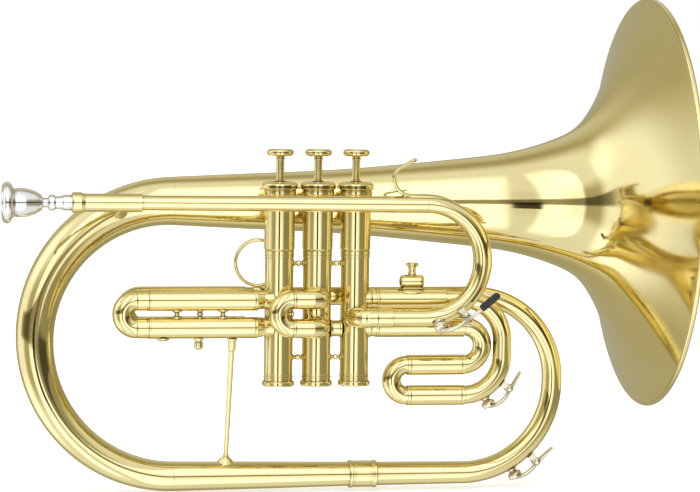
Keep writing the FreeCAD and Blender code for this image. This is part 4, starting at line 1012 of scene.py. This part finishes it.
def main_slide():
    """Sleeves and bow of the main tuning slide, behind the first slide."""
    node = "main_slide_sleeves"
    low, high = span(node)
    y = centre(node).y
    sleeves = Solid()
    for z in levels_of(node, REAR_SLEEVE_R):
        route = straight((low.x, y, z), (high.x, y, z))
        lined_tube(sleeves, route, REAR_SLEEVE_R, SMALL_BORE_R, (1.8, route.length - 1.8))
    piece("main_slide_sleeve_tubes", sleeves, node)
    u_bow("main_slide_bow", "main_tuning_slide", "main_tuning_slide", REAR_SLEEVE_R, SMALL_LEG_R, 10.7)


def second_slide():
    """Elbowed sleeves in front of the middle valve and the short bow that plugs into them."""
    node = "second_slide_sleeves"
    low = span(node)[0]
    r = SECOND_SLEEVE_R
    y = low.y + r
    run = -low.x - ELBOW_ARC
    sleeves = Solid()
    for z in levels_of(node, r):
        route = Route((low.x, y, z), X, [run, (ELBOW_ARC, 90, Z), -y - ELBOW_ARC - ELBOW_STOP])
        far = route.length
        outline = [(0, SMALL_BORE_R), (0, r), *line(1.4, r), (run, r), (run + 5.5, r + 0.35, 3.0),
                   (run + 11.0, r),
                   *casing_foot(far, r, 5.2, 8.4), (far, SMALL_BORE_R)]
        elbow = along(Solid(), route, outline, 56)
        onto_casing(elbow, 2, Y)
        sleeves.join(elbow)
    piece("second_slide_elbows", sleeves, node)
    node = "second_slide"
    low, high = span(node)
    upper, lower = levels_of(node, SLIDE_R)
    arc = (upper - lower) / 2
    bow_x = low.x + arc + SLIDE_R
    reach = high.x - bow_x
    route = Route((high.x, y, upper), -X, [reach, (arc, -180, Y), reach])
    far = route.length
    leg = SMALL_LEG_R
    outline = [(0, leg), (reach, leg), (reach, SLIDE_R), (far - reach, SLIDE_R), (far - reach, leg),
               (far, leg),
               (far, leg - WALL), (0, leg - WALL)]
    bow = along(Solid(), route, outline, 56)
    knob = [(0, 0), (0, 2.6), (0.7, 2.0, 0.5), (1.4, 1.3, 0.5), (2.6, 1.3, 0.4), (3.2, 2.0, 0.6),
            (4.4, 1.9, 0.7),
            (5.1, 0.6, 0.5), (5.15, 0)]
    turned(bow, knob, (bow_x - arc + SLIDE_R - 0.5, y, (upper + lower) / 2), X, 32)
    piece("second_slide_bow", bow, node, rides="second_slide")


def third_slide():
    """Sleeves with their knuckles into the third valve, the two bends, the return tubes and the left bow."""
    node = "third_slide_sleeves"
    high = span(node)[1]
    upper, lower = levels_of(node, SLEEVE_LIP_R)
    knuckle = VALVE_X[3] + KNUCKLE_STOP
    neck = THIRD_NECK_X - knuckle
    bore = SLIDE_R + BORE_GAP
    sleeves = Solid()
    for z, end_x in ((upper, THIRD_UPPER_END_X), (lower, high.x)):
        far = end_x - knuckle
        outline = [(0, 5.8), (0, 7.0), (5.1, 7.0, 0.3), (5.9, 6.95, 0.4), (6.8, 6.6, 0.6), (neck, 6.6),
                   (neck, SLEEVE_R), *line(neck + 1.6, SLEEVE_R), (far - 1.3, SLEEVE_R),
                   (far - 1.1, SLEEVE_LIP_R),
                   (far, SLEEVE_LIP_R), (far, bore), (neck, bore), (neck, 5.8)]
        turned(sleeves, outline, (knuckle, 0, z), X, 56, 0.1)
    onto_casing(sleeves, 3, X)
    piece("third_slide_sleeve_tubes", sleeves, node)

    returns_low, returns_high = span("third_slide_returns")
    back, bottom = levels_of("third_slide_returns", RETURN_R)
    inner_start = THIRD_NECK_X + 3.0
    route = Route((inner_start, 0, lower), X,
                  [high.x + 0.3 - inner_start, ((lower - back) / 2, 180, Y), RETURN_OVERLAP])
    piece("third_slide_small_bow", tube(Solid(), route, SLIDE_R, WALL, None, 56), "third_slide_small_bend",
          rides="third_slide")

    bend_x = span("third_slide_big_bend")[1].x - SLIDE_R
    drop = upper - THIRD_TOP_ARC - (bottom + THIRD_LOW_ARC)
    route = Route((inner_start, 0, upper), X,
                  [bend_x - THIRD_TOP_ARC - inner_start, (THIRD_TOP_ARC, 90, Y), drop,
                   (THIRD_LOW_ARC, 90, Y), RETURN_OVERLAP])
    piece("third_slide_big_bow", tube(Solid(), route, SLIDE_R, WALL, None, 56), "third_slide_big_bend",
          rides="third_slide")

    returns = Solid()
    for z in (back, bottom):
        route = straight((returns_low.x, 0, z), (returns_high.x, 0, z))
        lined_tube(returns, route, RETURN_R, bore, (2.0, route.length - 2.4), 56)
    piece("third_slide_return_tubes", returns, "third_slide_returns", rides="third_slide")
    u_bow("third_slide_left_bow", "third_tuning_bow", "third_slide_tuning_bow", SLIDE_R, SLIDE_R, 0.0)


# ---------------------------------------------------------------- water keys

PIVOT_HEIGHT = 5.6            # above the tube
EAR_OFFSET = 3.7              # of each saddle ear from the lever's middle
NIPPLE_H = 2.0
CUP_H = 3.4
CORK_R = 4.0
SPRING_COIL_R = 2.5
SPRING_WIRE_R = 0.28

# Angles of cup, pivot and tip round the bow, how far the tip stands off, and the tilt towards -Y
FRONT_KEY = (-78.5, -55.0, -30.0, 5.5, 50.0)
THIRD_KEY = (-62.0, -35.0, -16.0, 2.4, 0.0)
BOTTOM_KEY = (-60.0, -46.5, -36.0, 2.7, 0.0)
BOTTOM_KEY_Y = 21.0
BOTTOM_KEY_TUBE_R = 7.6


class WaterKey:
    """A water key on the outside of a bow. Angles are measured round the bow's centre from +X, and
    tilt turns the key from the bow's plane towards -Y."""

    def __init__(self, name, hub, bow_r, tube_r, cup, pivot, tip, rise, tilt):
        self.name, self.hub, self.bow_r, self.tube_r = name, hub, bow_r, tube_r
        self.cup, self.pivot, self.tip = cup, pivot, tip
        self.rise, self.tilt = rise, math.radians(tilt)
        joint = next(j for j in frame["joints"] if j["name"] == name + "_water_key_press")
        self.pin = Vector(joint["pos_m"]) / MM
        self.axis = Vector(joint["axis"]).normalized()
        self.parent = joint["parent"]
        self.body = joint["child"]

    def outward(self, angle):
        a = math.radians(angle)
        radial = Vector((math.cos(a), 0, math.sin(a)))
        return radial * math.cos(self.tilt) - Y * math.sin(self.tilt)

    def spot(self, angle, height, aside=0.0):
        a = math.radians(angle)
        middle = self.hub + Vector((math.cos(a), 0, math.sin(a))) * self.bow_r
        return middle + self.outward(angle) * (self.tube_r + height) + self.axis * aside

    def mounting(self, solid):
        """Saddle plate on the tube, two ears with the pivot screw, and the drain nipple."""
        out = self.outward(self.pivot)
        along_tube = self.axis.cross(out).normalized()
        for side in (-1, 1):
            foot = self.pin + self.axis * (side * EAR_OFFSET) - out * (PIVOT_HEIGHT + 0.8)
            ear = ((0, 2.9), (1.6, 2.3), (3.4, 1.9), (PIVOT_HEIGHT + 0.8, 2.1), (7.6, 1.8), (8.3, 0.9))
            strap(solid, [(foot + out * height, out, along_tube, wide, 0.6) for height, wide in ear], 0.3)
        start = self.pin - self.axis * (EAR_OFFSET + 1.6)
        width = 2 * EAR_OFFSET
        outline = [(0, 0), (0, 1.2), (0.5, 1.5), (1.1, 1.5), (1.1, 0.9), (width + 2.1, 0.9),
                   (width + 2.1, 1.9),
                   (width + 2.9, 1.9, 0.3), (width + 3.3, 1.3, 0.4), (width + 3.4, 0)]
        turned(solid, outline, start, self.axis, 28, 0.1)
        nipple = [(0, 1.3), (0, 3.6, 0.3), (1.4, 3.2, 0.5), (2.1, 2.4, 0.4), (NIPPLE_H + 1.0, 2.3, 0.25),
                  (NIPPLE_H + 1.0, 1.3)]
        turned(solid, nipple, self.spot(self.cup, -1.0), self.outward(self.cup), 32)
        return solid

    def spring(self, solid):
        """Torsion spring: turns on both sides of the lever's hub and a leg down to the tube."""
        out = self.outward(self.pivot)
        along_tube = out.cross(self.axis)
        for side in (-1, 1):
            points = []
            for step in range(41):
                a = 2 * math.pi * step / 16
                lift = side * (1.75 + 0.62 * step / 16)
                reach = out * (SPRING_COIL_R * math.cos(a)) + along_tube * (SPRING_COIL_R * math.sin(a))
                points.append(self.pin + self.axis * lift + reach)
            points.append(points[-1] - out * 2.2 - along_tube * 1.4)
            wire = [SPRING_WIRE_R] * len(points)
            limb(solid, points, wire, wire, out.cross(along_tube) + out * 0.01, 2, 8)
        return solid

    def lever(self, solid):
        """Hub, arm with its cork cup, and finger arm."""
        base = NIPPLE_H + 0.3
        top = base + CUP_H
        turns = [self.cup + (self.pivot - self.cup) * share for share in (0.0, 0.3, 0.65, 1.0)]
        turns += [self.pivot + (self.tip - self.pivot) * share for share in (0.3, 0.65, 1.0)]
        heights = [top + 1.0, top + 2.3, top + 2.5, PIVOT_HEIGHT + 1.3, PIVOT_HEIGHT + 0.9 + 0.2 * self.rise,
                   PIVOT_HEIGHT + 0.2 + 0.6 * self.rise, PIVOT_HEIGHT + self.rise]
        bar = [self.spot(angle, height) for angle, height in zip(turns, heights)]
        if self.name == "front":
            wide, thick = (1.7, 1.6, 1.5, 1.8, 1.4, 1.2, 1.1), (1.1, 1.4, 1.4, 1.4, 1.3, 1.2, 1.1)
        else:
            wide, thick = (1.7, 1.6, 1.6, 1.9, 2.0, 2.4, 2.1), (1.1, 1.4, 1.4, 1.4, 1.4, 1.2, 0.9)
        limb(solid, bar, wide, thick, self.axis)
        outline = [(CUP_H - 1.0, 0), (CUP_H - 1.0, CORK_R + 0.05), (0, CORK_R + 0.05), (0, 4.6, 0.2),
                   (0.5, 4.8, 0.2), (1.0, 4.7, 0.2), (CUP_H - 0.9, 4.7, 0.8), (CUP_H - 0.1, 3.4, 0.8),
                   (CUP_H + 0.15, 1.2, 0.5), (CUP_H + 0.2, 0)]
        turned(solid, outline, self.spot(self.cup, base + 0.8), self.outward(self.cup), 44)
        hub = mirrored([(0, 0.95), (0, 2.0, 0.3), (0.8, 2.15, 0.3), (1.4, 1.9, 0.2)], 6.0)
        turned(solid, hub, self.pin - self.axis * 3.0, self.axis, 32)
        return solid

    def cork(self):
        base = NIPPLE_H + 0.3
        outline = [(0, 0), (0, CORK_R), (CUP_H - 1.1, CORK_R), (CUP_H - 1.1, 0)]
        solid = turned(Solid(), outline, self.spot(self.cup, base + 0.05), self.outward(self.cup), 36, 0.35)
        piece(self.name + "_key_cork_pad", solid, self.name + "_key_cork", rides=self.body, slot="cork")

    def build(self, saddle, *springs):
        """Makes the key's four pieces. saddle and springs are the CAD nodes that its fixed parts replace."""
        name = self.name + "_key_"
        piece(name + "mounting", self.mounting(Solid()), saddle, rides=self.parent, material=POSTS)
        piece(name + "spring_wire", self.spring(Solid()), *springs, rides=self.parent, slot=STEEL)
        piece(name + "lever", self.lever(Solid()), self.name + "_water_key", rides=self.body, material=POSTS)
        self.cork()


def water_keys():
    """The front key with its rubber sleeve, and the keys of the third slide and the right bow."""
    hub, arc = front_bend()
    front = WaterKey("front", hub, arc, SLIDE_R, *FRONT_KEY)
    front.build("water_key_saddles", "water_key_springs")
    start = front.spot((front.pivot + front.tip) / 2, PIVOT_HEIGHT + 0.4 * front.rise)
    end = front.spot(front.tip, PIVOT_HEIGHT + front.rise)
    heading = (end - start).normalized()
    length = (end - start).length + 4.4
    outline = [(0, 1.2), (0, 2.3), (0.8, 2.5, 0.3), (length - 2.4, 2.5, 1.5), (length - 0.7, 1.9, 1.0),
               (length, 0.9, 0.6), (length, 0.7)]
    sleeve = turned(Solid(), outline, start + heading * 0.9, heading, 32, 0.25)
    piece("front_key_rubber_sleeve", sleeve, "front_key_grip", rides=front.body, slot="black_rubber")

    hub = Vector((span("third_slide_big_bend")[1].x - SLIDE_R - THIRD_LOW_ARC, 0,
                  levels_of("third_slide_returns", RETURN_R)[1] + THIRD_LOW_ARC))
    WaterKey("third", hub, THIRD_LOW_ARC, SLIDE_R, *THIRD_KEY).build("third_key_saddle")
    hub = Vector((RIGHT_BOW_X - RIGHT_LOW_R, BOTTOM_KEY_Y, centre("bottom_tube").z + RIGHT_LOW_R))
    bottom = WaterKey("bottom", hub, RIGHT_LOW_R, BOTTOM_KEY_TUBE_R, *BOTTOM_KEY)
    bottom.build("water_key_saddles", "water_key_springs")


# ---------------------------------------------------------------- grips, braces and fittings

HOOK_ROOT_X = 59.3            # finger hook, where its strap leaves the leadpipe
HOOK_FOOT_X = 54.0            # left end of its saddle
HOOK_THICK = 0.95
LYRE_SCREW_X = 65.0
BRACE_ROD_X = -57.8
BELL_POST_Z = 50.0            # posts from the casings to the bell
SIDE_POST_X = 62.0            # post from the third slide's sleeve to the rear tube
SLIDE_POST_X = (-98.0, -54.0)   # posts from the first slide's sleeves to the main tuning slide's


def finger_ring():
    """Flat-banded ring for the left hand on a short foot."""
    low, high = span("finger_ring")
    outer = (high.x - low.x) / 2
    thick = 1.15                   # half of the band's
    half_width = 2.2
    middle = Vector(((low.x + high.x) / 2, low.y + half_width, high.z - outer))
    ring_r = outer - thick
    rings = []
    count = 96
    for k in range(count):
        a = 2 * math.pi * k / count
        out = Vector((math.cos(a), 0, math.sin(a)))
        ring = []
        for step in range(20):
            b = 2 * math.pi * step / 20
            wide = math.copysign(abs(math.cos(b)) ** 0.6, math.cos(b)) * half_width
            deep = math.copysign(abs(math.sin(b)) ** 0.8, math.sin(b)) * thick
            ring.append(middle + out * (ring_r + deep) + Y * wide)
        rings.append(ring)
    solid = Solid().skin(rings)
    foot = Vector((-38.9, middle.y, middle.z - outer + 1.1))
    block = ((0, 2.6, 1.9), (1.2, 2.2, 1.7), (2.4, 2.6, 2.0), (3.6, 3.8, 2.2), (4.2, 4.6, 2.2))
    strap(solid, [(foot - Z * height, -Z, X, wide, deep) for height, wide, deep in block], 0.8)
    piece("finger_ring_band", solid, "finger_ring")


def finger_hook():
    """Open hook on the end of the leadpipe: a bent strap with a rounded tip and a saddle foot."""
    hub, arc = front_bend()
    top = hub.z + arc
    lead_r = tube_radius("leadpipe")
    root = Vector((HOOK_ROOT_X, hub.y, top + lead_r + HOOK_THICK - 0.1))
    route = Route(root, -X, [(11.0, 90, Y), (8.0, 62.4, Y), 12.3], side=-Y)
    stations = []
    count = 60
    for k in range(count + 1):
        share = k / count
        near_tip = max(0.0, share - 0.93) / 0.07
        stations.append((*route.at(route.length * share), 2.7 - 1.3 * near_tip ** 2, HOOK_THICK + 0.15))
    solid = strap(Solid(), stations, 0.7)
    route = Route((HOOK_FOOT_X, hub.y, top), X, [hub.x - HOOK_FOOT_X, (arc, 24.0, Y)])
    rings = []
    steps = 36
    for k in range(steps + 1):
        share = k / steps
        place, heading, _ = route.at(route.length * share)
        up = (Z - heading * heading.z).normalized()
        taper = math.sin(math.pi * min(1.0, max(0.0, share * 0.96 + 0.02))) ** 0.35
        thick = 0.3 + 1.5 * taper * (1.0 - 0.4 * share)
        rings.append(plate_ring(place, up, math.radians(12.0 + 30.0 * taper), 4,
                                lambda b: lead_r + 0.02 + thick * math.cos(b * 0.9), lead_r - 0.25))
    piece("finger_hook_strap", capped(solid, rings), "finger_hook")


def lyre():
    """Lyre socket on its saddle, and the thumbscrew with its knurled head."""
    low, high = span("lyre_holder")
    radius = 4.6
    middle_x = (low.x + high.x) / 2
    z = high.z - radius
    outline = mirrored([(0, 2.5), (0, radius - 1.7, 0.2), (0.45, radius - 0.8, 1.0), (2.4, radius, 2.2)],
                       high.x - low.x)
    solid = turned(Solid(), outline, (low.x, 0, z), X, 48)
    top = z - 3.2
    block = ((0, 6.6, 3.4), (0.8, 6.9, 3.7), (1.5, 7.3, 4.0), (top - low.z - 0.6, 7.7, 4.4))
    strap(solid, [(Vector((middle_x, 0, top - height)), -Z, X, wide, deep) for height, wide, deep in block],
          1.2)
    boss = [(0, 1.55), (0, 3.0), (0.7, 2.9, 0.3), (1.0, 2.5, 0.2), (1.0, 1.55)]
    turned(solid, boss, (LYRE_SCREW_X, 0, z + radius - 0.6), Z, 32)
    sleeve_y = centre("third_slide_sleeves").y
    sleeve_z = levels_of("third_slide_sleeves", SLEEVE_LIP_R)[0]
    rings = []
    for k in range(25):
        share = k / 24
        edge = math.sin(math.pi * share) ** 0.3 if 0 < k < 24 else 0.0
        middle = Vector((middle_x + 7.3 * (2 * share - 1), sleeve_y, sleeve_z))
        rings.append(plate_ring(middle, Z, math.radians(34.0 + 22.0 * edge), 6,
                                lambda b: SLEEVE_R + 0.55 * edge + 0.1, SLEEVE_R - 0.15))
    piece("lyre_socket", capped(solid, rings), "lyre_holder")
    low, high = span("lyre_thumbscrew")
    height = high.z - low.z
    head_r = (high.x - low.x) / 2
    head = height - 2.4
    neck = head - 5.2
    outline = [(0, 0), (0, 1.2), (0.4, 1.5), (neck, 1.5), (neck, 2.6, 0.3), (neck + 1.0, 2.8, 0.4),
               (neck + 1.5, 2.5, 0.4), (head - 1.4, 2.5, 0.8), (head, 2.9, 0.4), (head, head_r - 0.4, 0.3),
               (head + 0.4, head_r, 0.2), (height - 0.4, head_r, 0.2), (height, head_r - 0.4, 0.3),
               (height, 1.6, 0.3), (height - 0.4, 1.3, 0.3), (height - 0.4, 0)]
    knurl = (head + 0.1, height - 0.1, 0.22, 2, 3.9)
    screw = turned(Solid(), outline, (LYRE_SCREW_X, 0, low.z), Z, 72, 0.1, knurl)
    piece("lyre_knurled_screw", screw, "lyre_thumbscrew", rides="lyre_thumbscrew")


def braces():
    """Turned rods and posts that tie the tubes together."""
    first = centre("first_slide_sleeves")
    upper, lower = levels_of("first_slide_sleeves", SLEEVE_LIP_R)
    foot = centre("bottom_tube")
    start = Vector((BRACE_ROD_X, first.y, lower - SLEEVE_R + 1.0))
    down = Vector((BRACE_ROD_X, foot.y, foot.z + 8.6)) - start
    far = down.length
    outline = [(0, 0), (0, 3.7), (1.0, 3.3, 0.4), (2.2, 3.2, 0.3), (2.6, 2.7, 0.2), (9.0, 2.7, 0.5),
               (9.9, 1.9, 0.5), (far * 0.5, 1.75, 5.0), (far - 10.0, 1.5, 3.0), (far - 6.0, 1.7, 1.0),
               (far - 4.2, 2.6, 1.0), (far - 2.2, 4.4, 1.2), (far - 0.6, 5.6, 0.5), (far, 5.6), (far, 0)]
    piece("brace_rod_turned", turned(Solid(), outline, start, down, 40), "brace_rod")

    low, high = span("receiver_brace")
    lead = centre("leadpipe")
    start = Vector((centre("receiver_brace").x, lead.y, lead.z))
    away = Vector((start.x, high.y, low.z + 3.0)) - start
    far = away.length
    outline = [(0, 0), (0, 3.8), (5.8, 3.8), (7.4, 3.6, 0.5), (8.6, 1.9, 0.8), (15.5, 1.5, 2.0),
               (16.6, 2.4, 0.7),
               (18.5, 3.0, 0.8), (20.4, 2.4, 0.7), (21.5, 1.5, 0.8), (far - 11.0, 1.8, 2.0),
               (far - 6.0, 3.0, 2.0), (far - 1.6, 5.0, 1.0), (far, 5.2), (far, 0)]
    piece("receiver_brace_turned", turned(Solid(), outline, start, away, 40), "receiver_brace")

    posts = Solid()

    def post(start, end, waist, foot_r):
        start, end = Vector(start), Vector(end)
        outline = mirrored([(0, 0), (0, foot_r), (0.9, foot_r * 0.92, 0.4), (2.0, waist, 0.8)],
                           (end - start).length)
        turned(posts, outline, start, end - start, 32)

    rear = centre("rear_tube")
    rear_side = rear.y - REAR_R + 0.8
    for x in (VALVE_X[1], VALVE_X[3]):
        post((x, 9.4, BELL_POST_Z), (x, 19.5, BELL_POST_Z), 1.9, 3.6)
        post((x, -9.2, lead.z), (x, lead.y + 4.2, lead.z), 2.3, 2.8)
    for x in (VALVE_X[2], VALVE_X[3]):
        post((x, CASING_R - 0.7, rear.z), (x, rear_side, rear.z), 1.8, 2.6)
    post((SIDE_POST_X, SLEEVE_R - 0.8, rear.z), (SIDE_POST_X, rear_side, rear.z), 1.8, 2.6)
    upper_rear, lower_rear = levels_of("main_slide_sleeves", REAR_SLEEVE_R)
    for x in SLIDE_POST_X:
        for front, back in ((upper, upper_rear), (lower, lower_rear)):
            level = (front + back) / 2
            post((x, first.y + SLEEVE_R - 0.8, level), (x, rear.y - 6.2, level), 1.5, 2.2)
    piece("tube_brace_posts", posts, "tube_braces")


def mouthpiece():
    """Silver-plated mouthpiece: rim, deep cup, beaded waist and tapered shank."""
    low, high = span("mouthpiece")
    lead = centre("leadpipe")
    rim = (high.z - low.z) / 2
    length = high.x - low.x
    outer = [(1.2, rim - 0.6), (3.0, rim), (4.8, rim - 0.5), (6.0, 12.1), (6.9, 10.2), (7.9, 9.2), (9.2, 9.4),
             (10.6, 9.7), (12.6, 9.65), (15.0, 9.45), (17.0, 9.1), (19.1, 8.5), (21.2, 7.8), (23.0, 6.9),
             (24.4, 6.0)]
    neck = [(25.4, 5.4, 0.3), (25.9, 5.1, 0.2), (26.1, 3.4, 0.3), (28.0, 3.2), (30.0, 3.4, 0.3)]
    bead = [(30.3, 4.9, 0.3), (31.2, 5.3, 0.6), (33.2, 5.4, 0.8), (34.3, 5.05, 0.4), (34.6, 4.35, 0.2)]
    shank = [(39.3, 4.4, 0.2), (39.7, 5.3, 0.25), (45.5, 5.3, 2.0), (length, 4.85, 0.25)]
    bore = [(length, 4.1, 0.2), (30.0, 2.3, 2.0), (20.0, 2.3, 2.0)]
    cup = [(20.0, 2.5), (17.6, 3.0), (15.0, 4.0), (11.0, 6.0), (6.0, 7.9), (3.0, 8.35), (1.6, 8.5),
           (0.7, 8.85), (0.15, 9.6), (0.0, 10.6), (0.12, 11.7), (0.5, 12.3)]
    outline = [tuple(p) for p in flowing(outer, 5)]
    outline += neck + bead + shank + bore
    outline += [tuple(p) for p in flowing(cup, 5)]
    body = turned(Solid(), outline, (low.x, lead.y, lead.z), X, 96, 0.2)
    piece("mouthpiece_silver", body, "mouthpiece", rides="mouthpiece", slot=SILVER)


def inner_works():
    """The CAD's own pistons, guides and springs get their finish and stay."""
    for name, thing in frame["nodes"].items():
        slot = {"piston": "nickel_alloy", "spring": STEEL, "guides": BRASS}.get(name.split("_")[-1])
        if slot:
            for place in thing.material_slots:
                place.material = MATERIALS[slot]


# ---------------------------------------------------------------- studio

FLOOR_DROP = 2.0              # below the horn's lowest point
FLOOR_GLOW = 0.45             # keeps the floor near white round the soft shadow


def studio():
    """Pale floor and surround; the soft boxes beside the camera and the darker room behind are made in
    room_light().
    """
    lowest = cad_box[0][2] - FLOOR_DROP * MM
    pale = Paint("pale_floor").set(Roughness=0.9, Specular_IOR_Level=0.1, Emission_Strength=FLOOR_GLOW)
    pale.set(Emission_Color=(1, 1, 1, 1))
    pale.link(pale.ramp(pale.noise(3.0), (0.93, 0.93, 0.93), (0.95, 0.95, 0.95)),
              pale.shader.inputs["Base Color"])
    bpy.ops.mesh.primitive_circle_add(vertices=96, radius=9.0, fill_type="NGON", location=(0, 0, lowest))
    floor = bpy.context.object
    floor.name = "floor"
    floor.data.materials.append(pale.material)
    floor.visible_glossy = False
    glow = Paint("surround")
    light = glow.add("ShaderNodeEmission")
    light.inputs["Strength"].default_value = 1.0
    light.inputs["Color"].default_value = (1, 1, 1, 1)
    glow.link(light.outputs["Emission"], glow.tree.nodes["Material Output"].inputs["Surface"])
    bpy.ops.mesh.primitive_uv_sphere_add(segments=48, ring_count=24, radius=9.0, location=(0, 0, lowest))
    surround = bpy.context.object
    surround.name = "surround"
    surround.data.materials.append(glow.material)
    for ray in ("visible_glossy", "visible_diffuse", "visible_shadow", "visible_transmission"):
        setattr(surround, ray, False)


# Brightness of the surroundings and of what is added to them
ROOM_LIGHT = 0.42
ROOM_SLOPE = 0.10             # how much brighter the left of the room is than its middle
NEAR_BOXES = 0.85             # two tall boxes beside the camera
LEFT_BOX = 0.65
CEILING = 0.55
PALE_FLOOR = 0.50
MIDDLE_FILL = 0.45            # between the near boxes
BEHIND_BOX = 0.22             # high on the wall behind the horn
UPRIGHT_GAP = 0.93            # share of the light taken away between the near boxes
LEVEL_GAP = 0.78              # share taken away in a thin level strip


def room_light():
    """Surroundings seen in the metal, by direction: bright boxes near the camera with dark gaps
    between them, a tall box on the left, a pale ceiling and floor, and a dimmer, warmer room."""
    world = bpy.data.worlds.new("room")
    bpy.context.scene.world = world
    world.use_nodes = True
    nodes, links = world.node_tree.nodes, world.node_tree.links
    direction = nodes.new("ShaderNodeTexCoord").outputs["Generated"]

    def calc(operation, *values):
        node = nodes.new("ShaderNodeMath")
        node.operation = operation
        for socket, value in zip(node.inputs, values):
            if isinstance(value, (int, float)):
                socket.default_value = value
            else:
                links.new(value, socket)
        return node.outputs["Value"]

    def dot(vector):
        node = nodes.new("ShaderNodeVectorMath")
        node.operation = "DOT_PRODUCT"
        links.new(direction, node.inputs[0])
        node.inputs[1].default_value = vector
        return node.outputs["Value"]

    def rise(value, low, high):
        node = nodes.new("ShaderNodeMapRange")
        node.interpolation_type = "SMOOTHSTEP"
        links.new(value, node.inputs["Value"])
        node.inputs["From Min"].default_value = low
        node.inputs["From Max"].default_value = high
        return node.outputs["Result"]

    def band(value, middle, half, soft):
        """1 within half of the middle, falling to 0 over soft; all in degrees."""
        off = calc("ABSOLUTE", calc("SUBTRACT", value, math.radians(middle)))
        return calc("SUBTRACT", 1.0, rise(off, math.radians(half), math.radians(half + soft)))

    def times(*values):
        total = values[0]
        for value in values[1:]:
            total = calc("MULTIPLY", total, value)
        return total

    a = math.radians(CAMERA_BEARING)
    to_right = dot((math.cos(a), math.sin(a), 0))
    to_camera = dot((math.sin(a), -math.cos(a), 0))
    bearing = calc("ARCTAN2", to_right, to_camera)
    level = calc("ARCSINE", dot((0, 0, 1)))
    total = calc("ADD", times(to_right, -ROOM_SLOPE), ROOM_LIGHT)
    parts = (
        times(band(calc("ABSOLUTE", bearing), 18.0, 9.0, 5.0), band(level, 0.0, 50.0, 25.0), NEAR_BOXES),
        times(band(bearing, -90.0, 16.0, 22.0), band(level, 0.0, 35.0, 25.0), LEFT_BOX),
        times(rise(level, math.radians(14), math.radians(34)), rise(to_camera, -0.4, 0.1), CEILING),
        times(rise(times(level, -1.0), math.radians(14), math.radians(34)), rise(to_camera, -0.6, 0.0),
              PALE_FLOOR),
        times(band(bearing, 0.0, 12.0, 8.0), band(level, 0.0, 12.0, 22.0), MIDDLE_FILL),
        times(rise(times(to_camera, -1.0), 0.3, 0.8), band(level, 40.0, 12.0, 12.0), BEHIND_BOX))
    for part in parts:
        total = calc("ADD", total, part)
    upright = times(band(bearing, -1.0, 5.0, 1.5), band(level, -5.0, 6.0, 1.5), UPRIGHT_GAP)
    level_gap = times(band(level, 3.0, 4.5, 2.0), band(bearing, 0.0, 70.0, 25.0), LEVEL_GAP)
    total = times(total, calc("SUBTRACT", 1.0, upright), calc("SUBTRACT", 1.0, level_gap))
    tint = nodes.new("ShaderNodeMix")
    tint.data_type = "RGBA"
    links.new(rise(total, 0.35, 1.1), tint.inputs["Factor"])
    tint.inputs["A"].default_value = (1.0, 0.94, 0.66, 1)
    tint.inputs["B"].default_value = (0.97, 1.0, 1.1, 1)
    links.new(tint.outputs["Result"], nodes["Background"].inputs["Color"])
    links.new(total, nodes["Background"].inputs["Strength"])


CAMERA_BEARING = -10.4        # degrees from -Y towards +X
CAMERA_TILT = 4.0
CAMERA_DISTANCE = 2.0
CAMERA_AIM = Vector((0.0222, 0.0, 0.03635))
CAMERA_LENS = 153.06


def camera():
    a, b = math.radians(CAMERA_BEARING), math.radians(CAMERA_TILT)
    back = Vector((math.sin(a), -math.cos(a) * math.cos(b), math.cos(a) * math.sin(b))).normalized()
    right = Vector((0, math.sin(b), math.cos(b))).cross(back).normalized()
    up = back.cross(right)
    data = bpy.data.cameras.new("camera")
    data.lens = CAMERA_LENS
    data.sensor_width = 36.0
    data.clip_end = 50.0
    thing = bpy.data.objects.new("camera", data)
    turn = Matrix((right, up, back)).transposed().to_4x4()
    thing.matrix_world = Matrix.Translation(CAMERA_AIM + back * CAMERA_DISTANCE) @ turn
    bpy.context.scene.collection.objects.link(thing)
    bpy.context.scene.camera = thing


def key_light():
    """One large soft lamp above and in front."""
    data = bpy.data.lights.new("key", "AREA")
    data.shape = "RECTANGLE"
    data.size = 2.4
    data.size_y = 1.6
    data.energy = 40.0
    thing = bpy.data.objects.new("key", data)
    thing.location = (0.6, -1.6, 2.2)
    thing.rotation_euler = (Vector((0, 0, 0)) - thing.location).to_track_quat("-Z", "Y").to_euler()
    bpy.context.scene.collection.objects.link(thing)
    thing.visible_glossy = False


def main():
    bell()
    left_bow()
    bottom_run()
    right_bow()
    leadpipe()
    front_bow()
    elbows()
    for number in (1, 2, 3):
        casing(number)
        stem(number)
    caps()
    casing_links()
    first_slide()
    first_struts()
    main_slide()
    second_slide()
    third_slide()
    water_keys()
    finger_ring()
    finger_hook()
    lyre()
    braces()
    mouthpiece()
    inner_works()
    studio()
    room_light()
    key_light()
    camera()
    bpy.context.scene.view_settings.view_transform = "Standard"


main()
